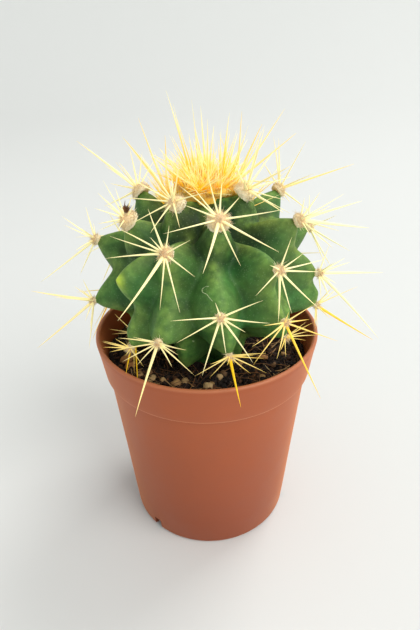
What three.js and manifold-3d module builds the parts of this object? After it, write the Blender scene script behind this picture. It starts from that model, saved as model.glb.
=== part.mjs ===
// A young golden-spined round cactus with thirteen knobbly ribs, growing in a small nursery pot.
// Millimetres, +Z up. The origin is the centre of the pot's underside, and azimuth 0 faces -Y.

import * as THREE from 'three';
import { mergeVertices } from 'three/addons/utils/BufferGeometryUtils.js';
import Module from 'manifold-3d';

// Pot: a thin moulded nursery pot with a deep plain band under its lip
const POT_HEIGHT = 65.6;
const POT_RIM_RADIUS = 32.5;
const POT_FOOT_RADIUS = 25.4;
const POT_BAND_HEIGHT = 11.7;
const POT_BAND_FOOT_RADIUS = 30.9;
const POT_NECK_RADIUS = 29.9;
const POT_WALL = 1.2;
const POT_FLOOR = 1.4;
const POT_FOOT_ROUND = 1.0;
const POT_BAND_EDGE = 0.4;
const POT_SIDES = 48;
const DRAIN_COUNT = 3;
const DRAIN_FIRST_AZIMUTH = -46;
const DRAIN_WIDTH = 1.8;
const DRAIN_HEIGHT = 2.6;
const DRAIN_REACH = 7.0;

// Potting mix: its level, its slope from left to right, and the pale grit that lies in its surface
const SOIL_LEVEL = 57.0;
const SOIL_SLOPE = -0.035;
const SOIL_ROUGHNESS = 0.45;
const SOIL_RINGS = [24, 18, 11];
const GRIT_COUNT = 11;
const GRIT_RADIUS = 1.25;
const GRIT_STAND = 0.5;
const GRIT_SMALLEST = 0.7;
const GRIT_LARGEST = 1.3;
const GRIT_SHAPE = [1, 0.8, 0.7];
const GRIT_NEAREST = 20;
const GRIT_FURTHEST = 27;
const GRIT_SEED = 57;

// Waves of the mix's surface: turns per millimetre in x and in y as angles, phase, and share
const SOIL_WAVES = [[0.42, 0.37, 1.3, 1], [0.93, -0.71, 0, 0.7], [0.31, 0.88, 1.6, 0.5]];

// Flesh: the envelope of the tubercle tips is a squat superellipse, flat on top and narrow at the foot
const FLESH_CENTRE = new THREE.Vector3(-0.7, 0.5, 77.2);
const FLESH_RADIUS = 31.8;
const FLESH_UP = 27.8;
const FLESH_DOWN = 29.5;
const FLESH_UP_POWER = 2.95;
const FLESH_DOWN_POWER = 1.15;
const FLESH_LEAN = 0.073;
const FLESH_BOUND = 40;

// Ribs and tubercles: areole number n stands at five thirteenths of a turn from the one before,
// and each one further down the body takes the same area of skin
const RIB_COUNT = 13;
const TURN_PER_AREOLE = 5 / RIB_COUNT;
const FIRST_AZIMUTH = 149.96;
const AREA_PER_AREOLE = 282.4;
const NUMBER_AT_APEX = 8.216;
const FIRST_AREOLE = 9;
const LOWEST_AREOLE_HEIGHT = 64.0;
const BARE_AREOLES = [22];

// A living plant is not quite regular: how far single areoles stand off the rule,
// in degrees round the body, millimetres down it and millimetres out from it
const STRAYS = {
  9: [-3, 1, 0], 10: [-8, -1, 0], 11: [5, 4, 2], 12: [2, 0, 0], 14: [5, -2, 0], 15: [3, 3, 0],
  17: [-2, -1, 0], 18: [-2, -4, 1], 19: [8, 1, 0], 20: [-3, 2, 0], 22: [2, -1, 0], 23: [6, -1, 0],
  25: [-4, 2, 0], 27: [-8, 5, -1], 28: [5, -1, 0], 30: [-3, 1, 0], 32: [-11, 3, -1], 33: [-1, -3, 0],
  35: [3, 1, 0], 36: [-20, -2, 2.5], 38: [2, -2, 0], 40: [0, 0, -3], 41: [-14, -5, 1.5],
};

// Relief: how far the skin falls back across a rib, and above and below each tip along it
const RELIEF_REACH = 30;
const RIB_HALF_WIDTH = 9.0;
const RIB_FALL = 10.5;
const CREST_ROUNDING = 0.08;
const RISE_LENGTH = 17.0;
const RISE_FALL = 10.5;
const RISE_POWER = 1.15;
const CHIN_LENGTH = 14.0;
const CHIN_FALL = 13.0;
const BLUNTNESS = 1.5;
const CREASE_WIDTH = 1.6;
const DEEPEST = 13.0;
const YOUNG_RELIEF = 0.25;
const FOOT_RELIEF = 0.45;
const YOUNG_ZONE = [4, 17];
const FOOT_ZONE = [-12.2, 0];
const BURIED_ZONE = [1, 6];
const COLUMNS_PER_RIB = 6;
const FLESH_ROWS = 20;
const BURIED_ROWS = 3;

// Taproot, in the hole that it fills
const ROOT_RADIUS = 5.0;
const ROOT_TIP_RADIUS = 1.6;
const ROOT_TIP_HEIGHT = 24.0;
const ROOT_OVERLAP = 6.0;
const ROOT_SIDES = 12;

// Areoles: felted pads that carry the spines, sunk into shallow seats at the tubercle tips
const PAD_RADIUS_TOP = 2.4;
const PAD_RADIUS_LOW = 1.2;
const PAD_THICKNESS = 1.0;
const PAD_SIDES = 6;
const NEEDLE_RADIUS = 0.34;
const CENTRAL_RADIUS = 0.5;
const NEEDLE_SIDES = 3;
const NEEDLE_ROOT_HEIGHT = 0.2;
const NEEDLE_ROOT_SPREAD = 0.5;
const FACING = 0.6;

// Spines of one areole: clock angle in degrees seen from outside, length, and lift from the skin in degrees
const SPINE_PATTERNS = [
  { at: 9, spines: [[-122, 13, 28], [-153, 12, 15], [161, 12, 15], [122, 14.5, 15], [-74, 8, 15],
    [-33, 8, 18], [75, 13.5, 15], [0, 13, 62], [45, 14, 52], [-60, 14, 55], [100, 13, 48],
    [-100, 12, 45]] },
  { at: 11, spines: [[86, 20.5, 70], [87, 11, 65], [20, 9, 80], [-25, 11, 59], [-40, 10.5, 43],
    [124, 8, 50], [160, 12, 20], [-80, 13, 25], [-125, 13, 20], [-170, 12, 20], [50, 12, 30]] },
  { at: 12, spines: [[-8, 11, 15], [12, 9.5, 15], [-35, 10, 15], [-48, 12, 15], [-68, 9, 15],
    [-105, 15, 15], [-153, 16, 15], [172, 13.5, 15], [150, 8, 35], [135, 16, 15], [93, 15, 15],
    [52, 7, 20]] },
  { at: 13, spines: [[-8, 19, 43], [-71, 21, 44], [-56, 24.5, 66], [-31, 17, 47], [30, 14, 35],
    [60, 12, 25], [100, 12, 20], [140, 12, 20], [180, 11, 20], [-110, 12, 20], [-150, 11, 20]] },
  { at: 14, spines: [[-59, 9, 70], [-38, 10.5, 55], [-123, 8, 60], [-8, 8, 50], [78, 8, 65], [112, 8, 20],
    [0, 6.5, 18], [33, 6, 12], [173, 7, 50], [-85, 9, 25], [-150, 8, 20]] },
  { at: 15, spines: [[110, 16, 61], [156, 17, 55], [-151, 10.5, 55], [-128, 7, 20], [-75, 9, 36],
    [41, 8, 49], [3, 5.5, 32], [89, 14, 47], [90, 8, 70], [180, 8, 25]] },
  { at: 16, spines: [[17, 23, 48], [-2, 17, 28], [41, 20, 38], [-30, 13, 30], [-70, 12, 20], [-110, 12, 20],
    [-150, 12, 20], [180, 13, 20], [140, 12, 20], [85, 13, 20]] },
  { at: 17, spines: [[-24, 10.5, 15], [-38, 5.5, 45], [8, 6.5, 15], [66, 9, 30], [-68, 12, 15],
    [-79, 13, 15], [-102, 13.5, 15], [-165, 19.5, 35], [172, 13, 15], [152, 14.5, 15], [117, 10, 15]] },
  { at: 18, spines: [[-107, 21.5, 60], [-30, 15, 40], [30, 15, 35], [0, 14, 25], [-70, 13, 25],
    [70, 13, 20], [110, 12, 20], [150, 13, 20], [-165, 12, 20]] },
  { at: 19, spines: [[179, 21.5, 37], [-170, 13.5, 12], [156, 10, 10], [9, 9, 78], [47, 6.5, 35],
    [-65, 12, 65], [107, 7.5, 30], [-65, 6, 20], [-20, 9, 30], [-120, 10, 20]] },
  { at: 20, spines: [[21, 8, 15], [67, 7, 15], [-63, 9, 32], [-101, 12, 20], [-156, 12, 15],
    [180, 10.5, 15], [155, 13, 35], [105, 10.5, 15], [90, 12.5, 15]] },
  { at: 25, spines: [[-17, 6.5, 30], [-81, 12, 15], [-110, 11.5, 15], [-158, 14, 15], [177, 9, 35],
    [147, 13, 15], [108, 7, 45], [95, 11, 15], [62, 10.5, 15]] },
  { at: 27, spines: [[-43, 17, 75], [29, 10.5, 72], [-168, 24, 49], [-11, 6.5, 46], [-25, 6.5, 21],
    [152, 6.5, 12], [134, 8, 12], [165, 14, 12], [100, 9, 15], [60, 8, 20], [-90, 9, 25]] },
  { at: 28, spines: [[100, 17, 70], [173, 25.5, 41], [53, 8, 50], [-32, 7, 37], [-154, 7.5, 28],
    [-128, 8, 12], [82, 10, 48], [20, 8, 15], [130, 10, 25]] },
  { at: 30, spines: [[-71, 6, 20], [-83, 9.5, 15], [-102, 10, 15], [-122, 10.5, 15], [-140, 8, 15],
    [-171, 18, 35], [70, 11.5, 30], [103, 6, 15], [117, 11.5, 15], [137, 6.5, 20]] },
  { at: 33, spines: [[-67, 11.5, 15], [-86, 15, 15], [-106, 15, 15], [-125, 10, 28], [175, 20.5, 35],
    [119, 15, 30], [97, 7, 15], [67, 8.5, 15], [-28, 7, 30]] },
  { at: 35, spines: [[-52, 7, 26], [-41, 7, 41], [-5, 7, 32], [46, 6, 37], [-75, 8, 20], [-24, 5, 15],
    [67, 8, 20], [-110, 8, 20], [100, 7, 20]] },
  { at: 36, spines: [[18, 12, 38], [130, 21.5, 70], [10, 7, 12], [-152, 7, 30], [-84, 6, 46],
    [-116, 6.5, 12], [60, 9, 25], [170, 9, 25]] },
  { at: 38, spines: [[-52, 9, 28], [-106, 10, 15], [-138, 8, 15], [171, 14, 35], [-29, 7, 45], [38, 8, 30],
    [73, 9, 15], [84, 8.5, 18], [138, 9, 15], [122, 12, 15]] },
  { at: 41, spines: [[7, 8, 15], [24, 8.5, 23], [-23, 8, 40], [56, 8.5, 44], [-94, 6.5, 36], [-74, 8.5, 15],
    [90, 9, 20]] },
];

// Areoles without a pattern of their own take a seeded variation of one of these
const YOUNG_SPRAY = 9;
const LAST_YOUNG = 14;
const COMMON_SPRAYS = [12, 17, 20, 25, 30, 33, 38];
const CENTRAL_LENGTH = 17;
const OTHER_LENGTH = 1.22;
const CLOCK_SCATTER = 9;
const LENGTH_SCATTER = 0.14;
const SPRAY_SEED = 1000;

// How a spine gives way to what it would cross: turned aside, raised, and only then cut shorter
const SPINE_SWINGS = [0, 5, -5, 10, -10, 16, -16, 22, -22];
const SPINE_RAISES = [0, 5, 10, 16, 23, 31, 40, 50];
const SPINE_SHORTENINGS = [1, 0.85, 0.7];
const SPINE_STEP = 0.7;

// Crown: wool over the growing point, with bunches of young spines
const CROWN_OFFSET = new THREE.Vector3(1.2, 5.5, 1.2);
const CROWN_RADIUS = 8.4;
const CROWN_HEIGHT = 4.8;
const CROWN_ROOTS_RISE = 2.0;
const BUNCH_COUNT = 11;
const SPINES_PER_BUNCH = 6;
const BUNCH_TILT = 60;
const BUNCH_SPREAD = 22;
const BUNCH_FAN = 70;
const YOUNG_SHORTEST = 6.5;
const YOUNG_LONGEST = 17.0;
const YOUNG_SHARE_POWER = 2.2;
const CROWN_SEED = 113;

// The tallest young spines: root to the right and behind the crown's centre, clock angle, lean and length
const TALL_YOUNG = [[-3.5, 0, -90, 14, 24], [0.5, 1, -90, 4, 19.5], [4.5, 0, 90, 6, 18]];

// Air between pieces that touch on the plant, and between spines that pass each other
const GAP = 0.3;
const SEAT_AIR = 0.4;
const HOLE_AIR = 0.35;
const SPINE_AIR = 0.14;
const SKIN_AIR = 0.5;

const UP = new THREE.Vector3(0, 0, 1);
const rad = THREE.MathUtils.degToRad;

// Seeded random numbers, evenly spread from 0 to 1
function randomFrom(seed) {
  let state = seed >>> 0;
  return () => {
    state = (state + 0x6D2B79F5) >>> 0;
    let mixed = Math.imul(state ^ (state >>> 15), state | 1);
    mixed ^= mixed + Math.imul(mixed ^ (mixed >>> 7), mixed | 61);
    return ((mixed ^ (mixed >>> 14)) >>> 0) / 4294967296;
  };
}

// Solids

const wasm = await Module();
wasm.setup();

function toSolid(geometry) {
  const bare = geometry.clone();
  bare.deleteAttribute('normal');
  bare.deleteAttribute('uv');
  const merged = mergeVertices(bare, 1e-5);
  return new wasm.Manifold(new wasm.Mesh({
    numProp: 3,
    vertProperties: new Float32Array(merged.attributes.position.array),
    triVerts: new Uint32Array(merged.index.array),
  }));
}

function toGeometry(solid) {
  const mesh = solid.getMesh();
  const geometry = new THREE.BufferGeometry();
  geometry.setAttribute('position', new THREE.BufferAttribute(new Float32Array(mesh.vertProperties), 3));
  geometry.setIndex(new THREE.BufferAttribute(new Uint32Array(mesh.triVerts), 1));
  geometry.computeVertexNormals();
  return geometry;
}

function addMesh(group, name, solid, material) {
  const mesh = new THREE.Mesh(toGeometry(solid), material.clone());
  mesh.name = name;
  group.add(mesh);
}

// A profile of [radius, height] pairs turned about the upright axis
function turned(outline, sides) {
  const geometry = new THREE.LatheGeometry(outline.map(([r, z]) => new THREE.Vector2(r, z)), sides);
  return geometry.rotateX(Math.PI / 2);
}

// Points of a quarter round from one angle to another, in degrees from the outward direction
function roundCorner(radius, height, size, fromAngle, toAngle, steps) {
  return Array.from({ length: steps + 1 }, (_, i) => {
    const angle = rad(fromAngle + (toAngle - fromAngle) * i / steps);
    return [radius + size * Math.cos(angle), height + size * Math.sin(angle)];
  });
}

// Pot

function wallRadius(z) {
  const neck = POT_HEIGHT - POT_BAND_HEIGHT;
  if (z > neck) {
    return POT_BAND_FOOT_RADIUS + (POT_RIM_RADIUS - POT_BAND_FOOT_RADIUS) * (z - neck) / POT_BAND_HEIGHT;
  }
  return POT_FOOT_RADIUS + (POT_NECK_RADIUS - POT_FOOT_RADIUS) * z / neck;
}

function potSolid() {
  const neck = POT_HEIGHT - POT_BAND_HEIGHT;
  const lip = POT_WALL / 2;
  const innerNeck = POT_NECK_RADIUS - POT_WALL;
  const outline = [
    [0, 0],
    ...roundCorner(POT_FOOT_RADIUS - POT_FOOT_ROUND, POT_FOOT_ROUND, POT_FOOT_ROUND, -90, -10, 3),
    [POT_NECK_RADIUS, neck - POT_BAND_EDGE],
    [POT_BAND_FOOT_RADIUS - POT_BAND_EDGE, neck],
    [POT_BAND_FOOT_RADIUS, neck + POT_BAND_EDGE],
    ...roundCorner(POT_RIM_RADIUS - lip, POT_HEIGHT - lip, lip, 0, 180, 3),
    [wallRadius(neck + POT_WALL) - POT_WALL, neck + POT_WALL],
    [innerNeck, neck - POT_WALL / 2],
    ...roundCorner(POT_FOOT_RADIUS - POT_WALL - POT_FOOT_ROUND, POT_FLOOR + POT_FOOT_ROUND,
      POT_FOOT_ROUND, 0, -90, 2),
    [0, POT_FLOOR],
  ];
  let pot = toSolid(turned(outline, POT_SIDES));
  for (let i = 0; i < DRAIN_COUNT; i++) {
    const slot = new THREE.BoxGeometry(DRAIN_WIDTH, DRAIN_REACH, DRAIN_HEIGHT * 2);
    slot.translate(0, DRAIN_REACH / 2 - POT_FOOT_RADIUS - POT_WALL, 0);
    slot.rotateZ(rad(DRAIN_FIRST_AZIMUTH + 360 * i / DRAIN_COUNT));
    pot = pot.subtract(toSolid(slot));
  }
  return pot;
}

// Flesh envelope, as a table down its profile: polar angle, radius, height, arc length and areole number

function envelopeReach(polar) {
  const c = Math.cos(polar);
  const height = c > 0 ? FLESH_UP : FLESH_DOWN;
  const power = c > 0 ? FLESH_UP_POWER : FLESH_DOWN_POWER;
  return (Math.abs(Math.sin(polar) / FLESH_RADIUS) ** power + Math.abs(c / height) ** power) ** (-1 / power);
}

const PROFILE_STEPS = 1200;
const profile = [];
for (let i = 0; i <= PROFILE_STEPS; i++) {
  const polar = Math.PI * i / PROFILE_STEPS;
  const reach = envelopeReach(polar);
  const r = reach * Math.sin(polar);
  const z = reach * Math.cos(polar);
  const last = profile[i - 1];
  const step = last ? Math.hypot(r - last.r, z - last.z) : 0;
  profile.push({
    polar, r, z,
    arc: last ? last.arc + step : 0,
    number: last ? last.number + Math.PI * (r + last.r) * step / AREA_PER_AREOLE : NUMBER_AT_APEX,
  });
}

// The profile's place where one of its columns has the value given; heights fall down the profile
function profileAt(column, value) {
  const sign = column === 'z' ? -1 : 1;
  let low = 0;
  let high = PROFILE_STEPS;
  while (high - low > 1) {
    const middle = (low + high) >> 1;
    if (sign * profile[middle][column] <= sign * value) low = middle; else high = middle;
  }
  const a = profile[low];
  const b = profile[high];
  const t = (value - a[column]) / (b[column] - a[column]);
  const place = { index: low };
  for (const key of Object.keys(a)) place[key] = a[key] + (b[key] - a[key]) * t;
  return place;
}

// Areoles

const areoles = [];
const lastNumber = Math.floor(profile[PROFILE_STEPS].number) - 1;
for (let number = FIRST_AREOLE; number <= lastNumber; number++) {
  const [turnOff, arcOff, out] = STRAYS[number] ?? [0, 0, 0];
  const place = profileAt('arc', profileAt('number', number).arc + arcOff);
  const azimuth = rad(FIRST_AZIMUTH + 360 * TURN_PER_AREOLE * number + turnOff);
  const before = profile[Math.max(0, place.index - 3)];
  const after = profile[Math.min(PROFILE_STEPS, place.index + 4)];
  const slope = Math.atan2(after.r - before.r, before.z - after.z);
  const tilt = Math.tan(Math.max(0, slope) * (1 - FACING));
  areoles.push({ ...place, number, azimuth, out, tilt, rise: slope * FACING });
}

function smoothStep(value, from, to) {
  const t = Math.min(1, Math.max(0, (value - from) / (to - from)));
  return t * t * (3 - 2 * t);
}

// How far the skin falls back behind the envelope, at an azimuth and a place on the profile. Each tip
// has a flank to both sides of its rib, a chin below and a long rise above, and the slopes of two
// tubercles meet in a rounded valley.
function skinDepth(azimuth, place) {
  const width = RIB_HALF_WIDTH * Math.sqrt(Math.max(place.r, 4) / FLESH_RADIUS);
  let sum = Math.exp(-DEEPEST / CREASE_WIDTH);
  for (const tip of areoles) {
    const down = place.arc - tip.arc;
    if (Math.abs(down) > RELIEF_REACH) continue;
    let turn = (azimuth - tip.azimuth) % (2 * Math.PI);
    if (turn > Math.PI) turn -= 2 * Math.PI;
    if (turn < -Math.PI) turn += 2 * Math.PI;
    const across = turn * Math.sqrt(place.r * tip.r);
    if (Math.abs(across) > RELIEF_REACH) continue;
    const flank = RIB_FALL * (Math.hypot(across / width, CREST_ROUNDING) - CREST_ROUNDING);
    const along = down > 0
      ? CHIN_FALL * down / CHIN_LENGTH
      : RISE_FALL * (-down / RISE_LENGTH) ** RISE_POWER - down * tip.tilt;
    const away = (flank ** BLUNTNESS + along ** BLUNTNESS) ** (1 / BLUNTNESS);
    sum += Math.exp((tip.out - away) / CREASE_WIDTH);
  }
  const fall = -CREASE_WIDTH * Math.log(sum);
  const underSoil = SOIL_LEVEL - FLESH_CENTRE.z - place.z;
  const young = YOUNG_RELIEF + (1 - YOUNG_RELIEF) * smoothStep(place.arc, ...YOUNG_ZONE);
  const old = 1 - (1 - FOOT_RELIEF) * smoothStep(underSoil, ...FOOT_ZONE);
  const buried = 1 - smoothStep(underSoil, ...BURIED_ZONE);
  return fall * young * old * buried;
}

function skinReach(azimuth, polar) {
  return envelopeReach(polar) - skinDepth(azimuth, profileAt('polar', polar));
}

function fleshPoint(azimuth, polar, reach) {
  const r = reach * Math.sin(polar);
  const point = new THREE.Vector3(r * Math.sin(azimuth), -r * Math.cos(azimuth), reach * Math.cos(polar));
  point.z += FLESH_LEAN * point.x;
  return point.add(FLESH_CENTRE);
}

// The skin as a closed grid, each column on a meridian, moved out by an even offset
function fleshGeometry(offset) {
  const columns = RIB_COUNT * COLUMNS_PER_RIB;
  const rows = FLESH_ROWS + BURIED_ROWS;
  const soilLine = profileAt('z', SOIL_LEVEL - FLESH_CENTRE.z).arc;
  const bottom = profile[PROFILE_STEPS].arc;
  const geometry = new THREE.SphereGeometry(1, columns, rows);
  const position = geometry.attributes.position;
  for (let i = 0; i < position.count; i++) {
    const row = Math.floor(i / (columns + 1));
    const column = i % (columns + 1) % columns;
    const buried = Math.max(0, row - FLESH_ROWS) / BURIED_ROWS;
    const arc = Math.min(row / FLESH_ROWS, 1) * soilLine + buried * (bottom - soilLine);
    const pole = row === 0 || row === rows;
    const azimuth = pole ? 0 : rad(FIRST_AZIMUTH) + 2 * Math.PI * column / columns;
    const polar = row === rows ? Math.PI : profileAt('arc', arc).polar;
    const point = fleshPoint(azimuth, polar, skinReach(azimuth, polar) + offset);
    if (pole) point.setX(FLESH_CENTRE.x).setY(FLESH_CENTRE.y);
    position.setXYZ(i, point.x, point.y, point.z);
  }
  return geometry;
}

function rootGeometry(offset) {
  const top = FLESH_CENTRE.z - FLESH_DOWN + ROOT_OVERLAP;
  const tip = ROOT_TIP_HEIGHT - offset;
  const outline = [[0, tip], [ROOT_TIP_RADIUS + offset, tip], [ROOT_RADIUS + offset, top], [0, top]];
  return turned(outline, ROOT_SIDES).translate(FLESH_CENTRE.x, FLESH_CENTRE.y, 0);
}

function fleshSolid(offset) {
  return toSolid(fleshGeometry(offset)).add(toSolid(rootGeometry(offset)));
}

// Potting mix

function soilHeight(x, y) {
  const waves = SOIL_WAVES.reduce(
    (sum, [kx, ky, phase, share]) => sum + share * Math.sin(kx * x + ky * y + phase), 0);
  return SOIL_LEVEL + SOIL_SLOPE * x + SOIL_ROUGHNESS * waves;
}

function soilSolid(hole) {
  const bottom = POT_FLOOR + GAP;
  const side = (z) => wallRadius(z) - POT_WALL - GAP;
  const neck = POT_HEIGHT - POT_BAND_HEIGHT;
  const outline = [
    [0, bottom],
    [side(bottom) - POT_FOOT_ROUND - GAP, bottom],
    [side(bottom + POT_FOOT_ROUND), bottom + POT_FOOT_ROUND + GAP],
    [side(neck - POT_WALL), neck - POT_WALL],
    ...[side(SOIL_LEVEL - 2 * POT_WALL), ...SOIL_RINGS, 0].map((r) => [r, SOIL_LEVEL]),
  ];
  const geometry = turned(outline, POT_SIDES);
  const position = geometry.attributes.position;
  for (let i = 0; i < position.count; i++) {
    const [x, y, z] = [position.getX(i), position.getY(i), position.getZ(i)];
    if (z > SOIL_LEVEL - GAP) position.setZ(i, soilHeight(x, y));
  }
  let soil = toSolid(geometry);
  const random = randomFrom(GRIT_SEED);
  for (let i = 0; i < GRIT_COUNT; i++) {
    const azimuth = 2 * Math.PI * random();
    const distance = GRIT_NEAREST + (GRIT_FURTHEST - GRIT_NEAREST) * random();
    const size = GRIT_RADIUS * (GRIT_SMALLEST + (GRIT_LARGEST - GRIT_SMALLEST) * random());
    const stone = new THREE.IcosahedronGeometry(size, 0).scale(...GRIT_SHAPE).rotateZ(Math.PI * random());
    const x = distance * Math.sin(azimuth);
    const y = -distance * Math.cos(azimuth);
    soil = soil.add(toSolid(stone.translate(x, y, soilHeight(x, y))));
  }
  return soil.subtract(hole);
}

// Spines: every needle is kept as an axis with its thickness, so that later ones pass clear of it

const standing = [];
const pads = [];

function needleGeometry(needle) {
  const axis = needle.tip.clone().sub(needle.root);
  const length = axis.length();
  const geometry = new THREE.ConeGeometry(needle.radius, length, NEEDLE_SIDES, 1);
  geometry.translate(0, length / 2, 0);
  geometry.applyQuaternion(
    new THREE.Quaternion().setFromUnitVectors(new THREE.Vector3(0, 1, 0), axis.normalize()));
  return geometry.translate(needle.root.x, needle.root.y, needle.root.z);
}

// Shortest way between two needles' axes, less their thickness there
function airBetween(a, b) {
  const u = a.tip.clone().sub(a.root);
  const v = b.tip.clone().sub(b.root);
  const w = a.root.clone().sub(b.root);
  const uu = u.dot(u);
  const uv = u.dot(v);
  const vv = v.dot(v);
  const uw = u.dot(w);
  const vw = v.dot(w);
  const spread = uu * vv - uv * uv;
  const clamp = (value) => Math.min(1, Math.max(0, value));
  let s = spread > 1e-9 ? clamp((uv * vw - vv * uw) / spread) : 0;
  const t = clamp((uv * s + vw) / vv);
  s = clamp((uv * t - uw) / uu);
  const gap = w.addScaledVector(u, s).addScaledVector(v, -t).length();
  return gap - a.radius * (1 - s) - b.radius * (1 - t);
}

function insideFlesh(point, air) {
  const p = point.clone().sub(FLESH_CENTRE);
  p.z -= FLESH_LEAN * p.x;
  const reach = p.length();
  if (reach > FLESH_BOUND) return false;
  return reach < skinReach(Math.atan2(p.x, -p.y), Math.acos(p.z / reach)) + air;
}

function insideSoilOrPot(point, air) {
  const r = Math.hypot(point.x, point.y);
  const ground = soilHeight(point.x, point.y) + GRIT_STAND;
  if (r < POT_RIM_RADIUS - POT_WALL && point.z < ground + air) return true;
  const wall = wallRadius(Math.min(point.z, POT_HEIGHT));
  return point.z < POT_HEIGHT + air && r > wall - POT_WALL - air && r < wall + air;
}

function isClear(needle) {
  const axis = needle.tip.clone().sub(needle.root);
  const length = axis.length();
  axis.normalize();
  for (let d = needle.free; d <= length; d += SPINE_STEP) {
    const point = needle.root.clone().addScaledVector(axis, d);
    const thick = needle.radius * (1 - d / length);
    if (insideFlesh(point, SKIN_AIR + thick) || insideSoilOrPot(point, GAP + thick)) return false;
  }
  for (const other of standing) {
    if (other.home !== needle.home && airBetween(needle, other) < SPINE_AIR) return false;
  }
  for (const pad of pads) {
    if (pad.home === needle.home) continue;
    const t = Math.min(length, Math.max(0, pad.centre.clone().sub(needle.root).dot(axis)));
    if (needle.root.clone().addScaledVector(axis, t).distanceTo(pad.centre) < pad.radius + GAP) return false;
  }
  return true;
}

// A needle in the wished direction, or the nearest one that passes clear, bent away or shortened
function placeNeedle(home, root, frame, clock, lift, length, radius, free) {
  for (const part of SPINE_SHORTENINGS) {
    for (const raise of SPINE_RAISES) {
      for (const swing of SPINE_SWINGS) {
        const c = rad(clock + swing);
        const l = rad(lift + raise);
        const direction = frame.up.clone().multiplyScalar(Math.cos(l) * Math.cos(c))
          .addScaledVector(frame.side, Math.cos(l) * Math.sin(c)).addScaledVector(frame.out, Math.sin(l));
        const tip = root.clone().addScaledVector(direction, length * part);
        const foot = root.clone().addScaledVector(direction, NEEDLE_ROOT_SPREAD);
        const needle = { home, root: foot, tip, radius, free };
        if (isClear(needle)) {
          standing.push(needle);
          return needle;
        }
      }
    }
  }
  return null;
}

// Where an areole sits and how it faces
function areoleFrame(areole) {
  const { rise } = areole;
  const radial = new THREE.Vector3(Math.sin(areole.azimuth), -Math.cos(areole.azimuth), 0);
  const out = radial.clone().multiplyScalar(Math.cos(rise)).addScaledVector(UP, Math.sin(rise));
  const up = radial.clone().multiplyScalar(-Math.sin(rise)).addScaledVector(UP, Math.cos(rise));
  const side = new THREE.Vector3(Math.cos(areole.azimuth), Math.sin(areole.azimuth), 0);
  const seat = fleshPoint(areole.azimuth, areole.polar, skinReach(areole.azimuth, areole.polar));
  return { out, up, side, seat };
}

function padGeometry(frame, radius, thickness) {
  const geometry = new THREE.SphereGeometry(1, PAD_SIDES, 3).scale(radius, thickness, radius);
  geometry.applyQuaternion(new THREE.Quaternion().setFromUnitVectors(new THREE.Vector3(0, 1, 0), frame.out));
  return geometry.translate(frame.seat.x, frame.seat.y, frame.seat.z);
}

function spinesFor(areole, random) {
  const own = SPINE_PATTERNS.find(({ at }) => at === areole.number);
  if (own) return own.spines;
  const like = areole.number < LAST_YOUNG ? YOUNG_SPRAY : COMMON_SPRAYS[areole.number % COMMON_SPRAYS.length];
  const pattern = SPINE_PATTERNS.find(({ at }) => at === like);
  const mirror = random() < 0.5 ? -1 : 1;
  return pattern.spines.map(([clock, length, lift]) => [
    mirror * clock + CLOCK_SCATTER * (2 * random() - 1),
    length * OTHER_LENGTH * (1 + LENGTH_SCATTER * (2 * random() - 1)),
    lift,
  ]);
}

function fuse(core, needles) {
  return needles.reduce((solid, needle) => solid.add(toSolid(needleGeometry(needle))), toSolid(core));
}

// Crown

function crownGeometry(centre, offset) {
  return new THREE.SphereGeometry(1, 16, 8).rotateX(Math.PI / 2)
    .scale(CROWN_RADIUS + offset, CROWN_RADIUS + offset, CROWN_HEIGHT + offset)
    .translate(centre.x, centre.y, centre.z);
}

// Bunches stand on a spiral over the wool and lean out more towards its edge
function crownNeedles(centre) {
  const frame = { out: UP, up: new THREE.Vector3(0, 1, 0), side: new THREE.Vector3(1, 0, 0) };
  const random = randomFrom(CROWN_SEED);
  const needles = TALL_YOUNG.map(([x, y, clock, lean, length]) => {
    const root = centre.clone().add(new THREE.Vector3(x, y, CROWN_ROOTS_RISE));
    return placeNeedle('crown', root, frame, clock, 90 - lean, length, NEEDLE_RADIUS, CROWN_RADIUS);
  }).filter(Boolean);
  for (let bunch = 0; bunch < BUNCH_COUNT; bunch++) {
    const share = (bunch + 0.5) / BUNCH_COUNT;
    const azimuth = rad(FIRST_AZIMUTH - 360 * TURN_PER_AREOLE * bunch);
    const distance = (CROWN_RADIUS - PAD_RADIUS_LOW) * Math.sqrt(share);
    const root = centre.clone().add(new THREE.Vector3(
      distance * Math.sin(azimuth), -distance * Math.cos(azimuth), CROWN_ROOTS_RISE));
    for (let i = 0; i < SPINES_PER_BUNCH; i++) {
      const clock = 180 - THREE.MathUtils.radToDeg(azimuth) + BUNCH_FAN * (2 * random() - 1);
      const lean = BUNCH_TILT * share + BUNCH_SPREAD * (2 * random() - 1);
      const length = YOUNG_SHORTEST + (YOUNG_LONGEST - YOUNG_SHORTEST) * random() ** YOUNG_SHARE_POWER;
      const needle = placeNeedle('crown', root, frame, clock, 90 - lean, length, NEEDLE_RADIUS, CROWN_RADIUS);
      if (needle) needles.push(needle);
    }
  }
  return needles;
}

// Materials

const paint = (color, roughness) => new THREE.MeshStandardMaterial({ color, roughness, metalness: 0 });
const potPlastic = paint(0xb0623f, 0.55);
const peat = paint(0x2a1c14, 0.95);
const skin = paint(0x3f7a3a, 0.5);
const spine = paint(0xf0e2a0, 0.5);
const youngSpine = paint(0xf3cf63, 0.5);

// Assembly

const group = new THREE.Group();
addMesh(group, 'pot', potSolid(), potPlastic);

let flesh = fleshSolid(0);
addMesh(group, 'potting_mix', soilSolid(fleshSolid(HOLE_AIR)), peat);

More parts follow.
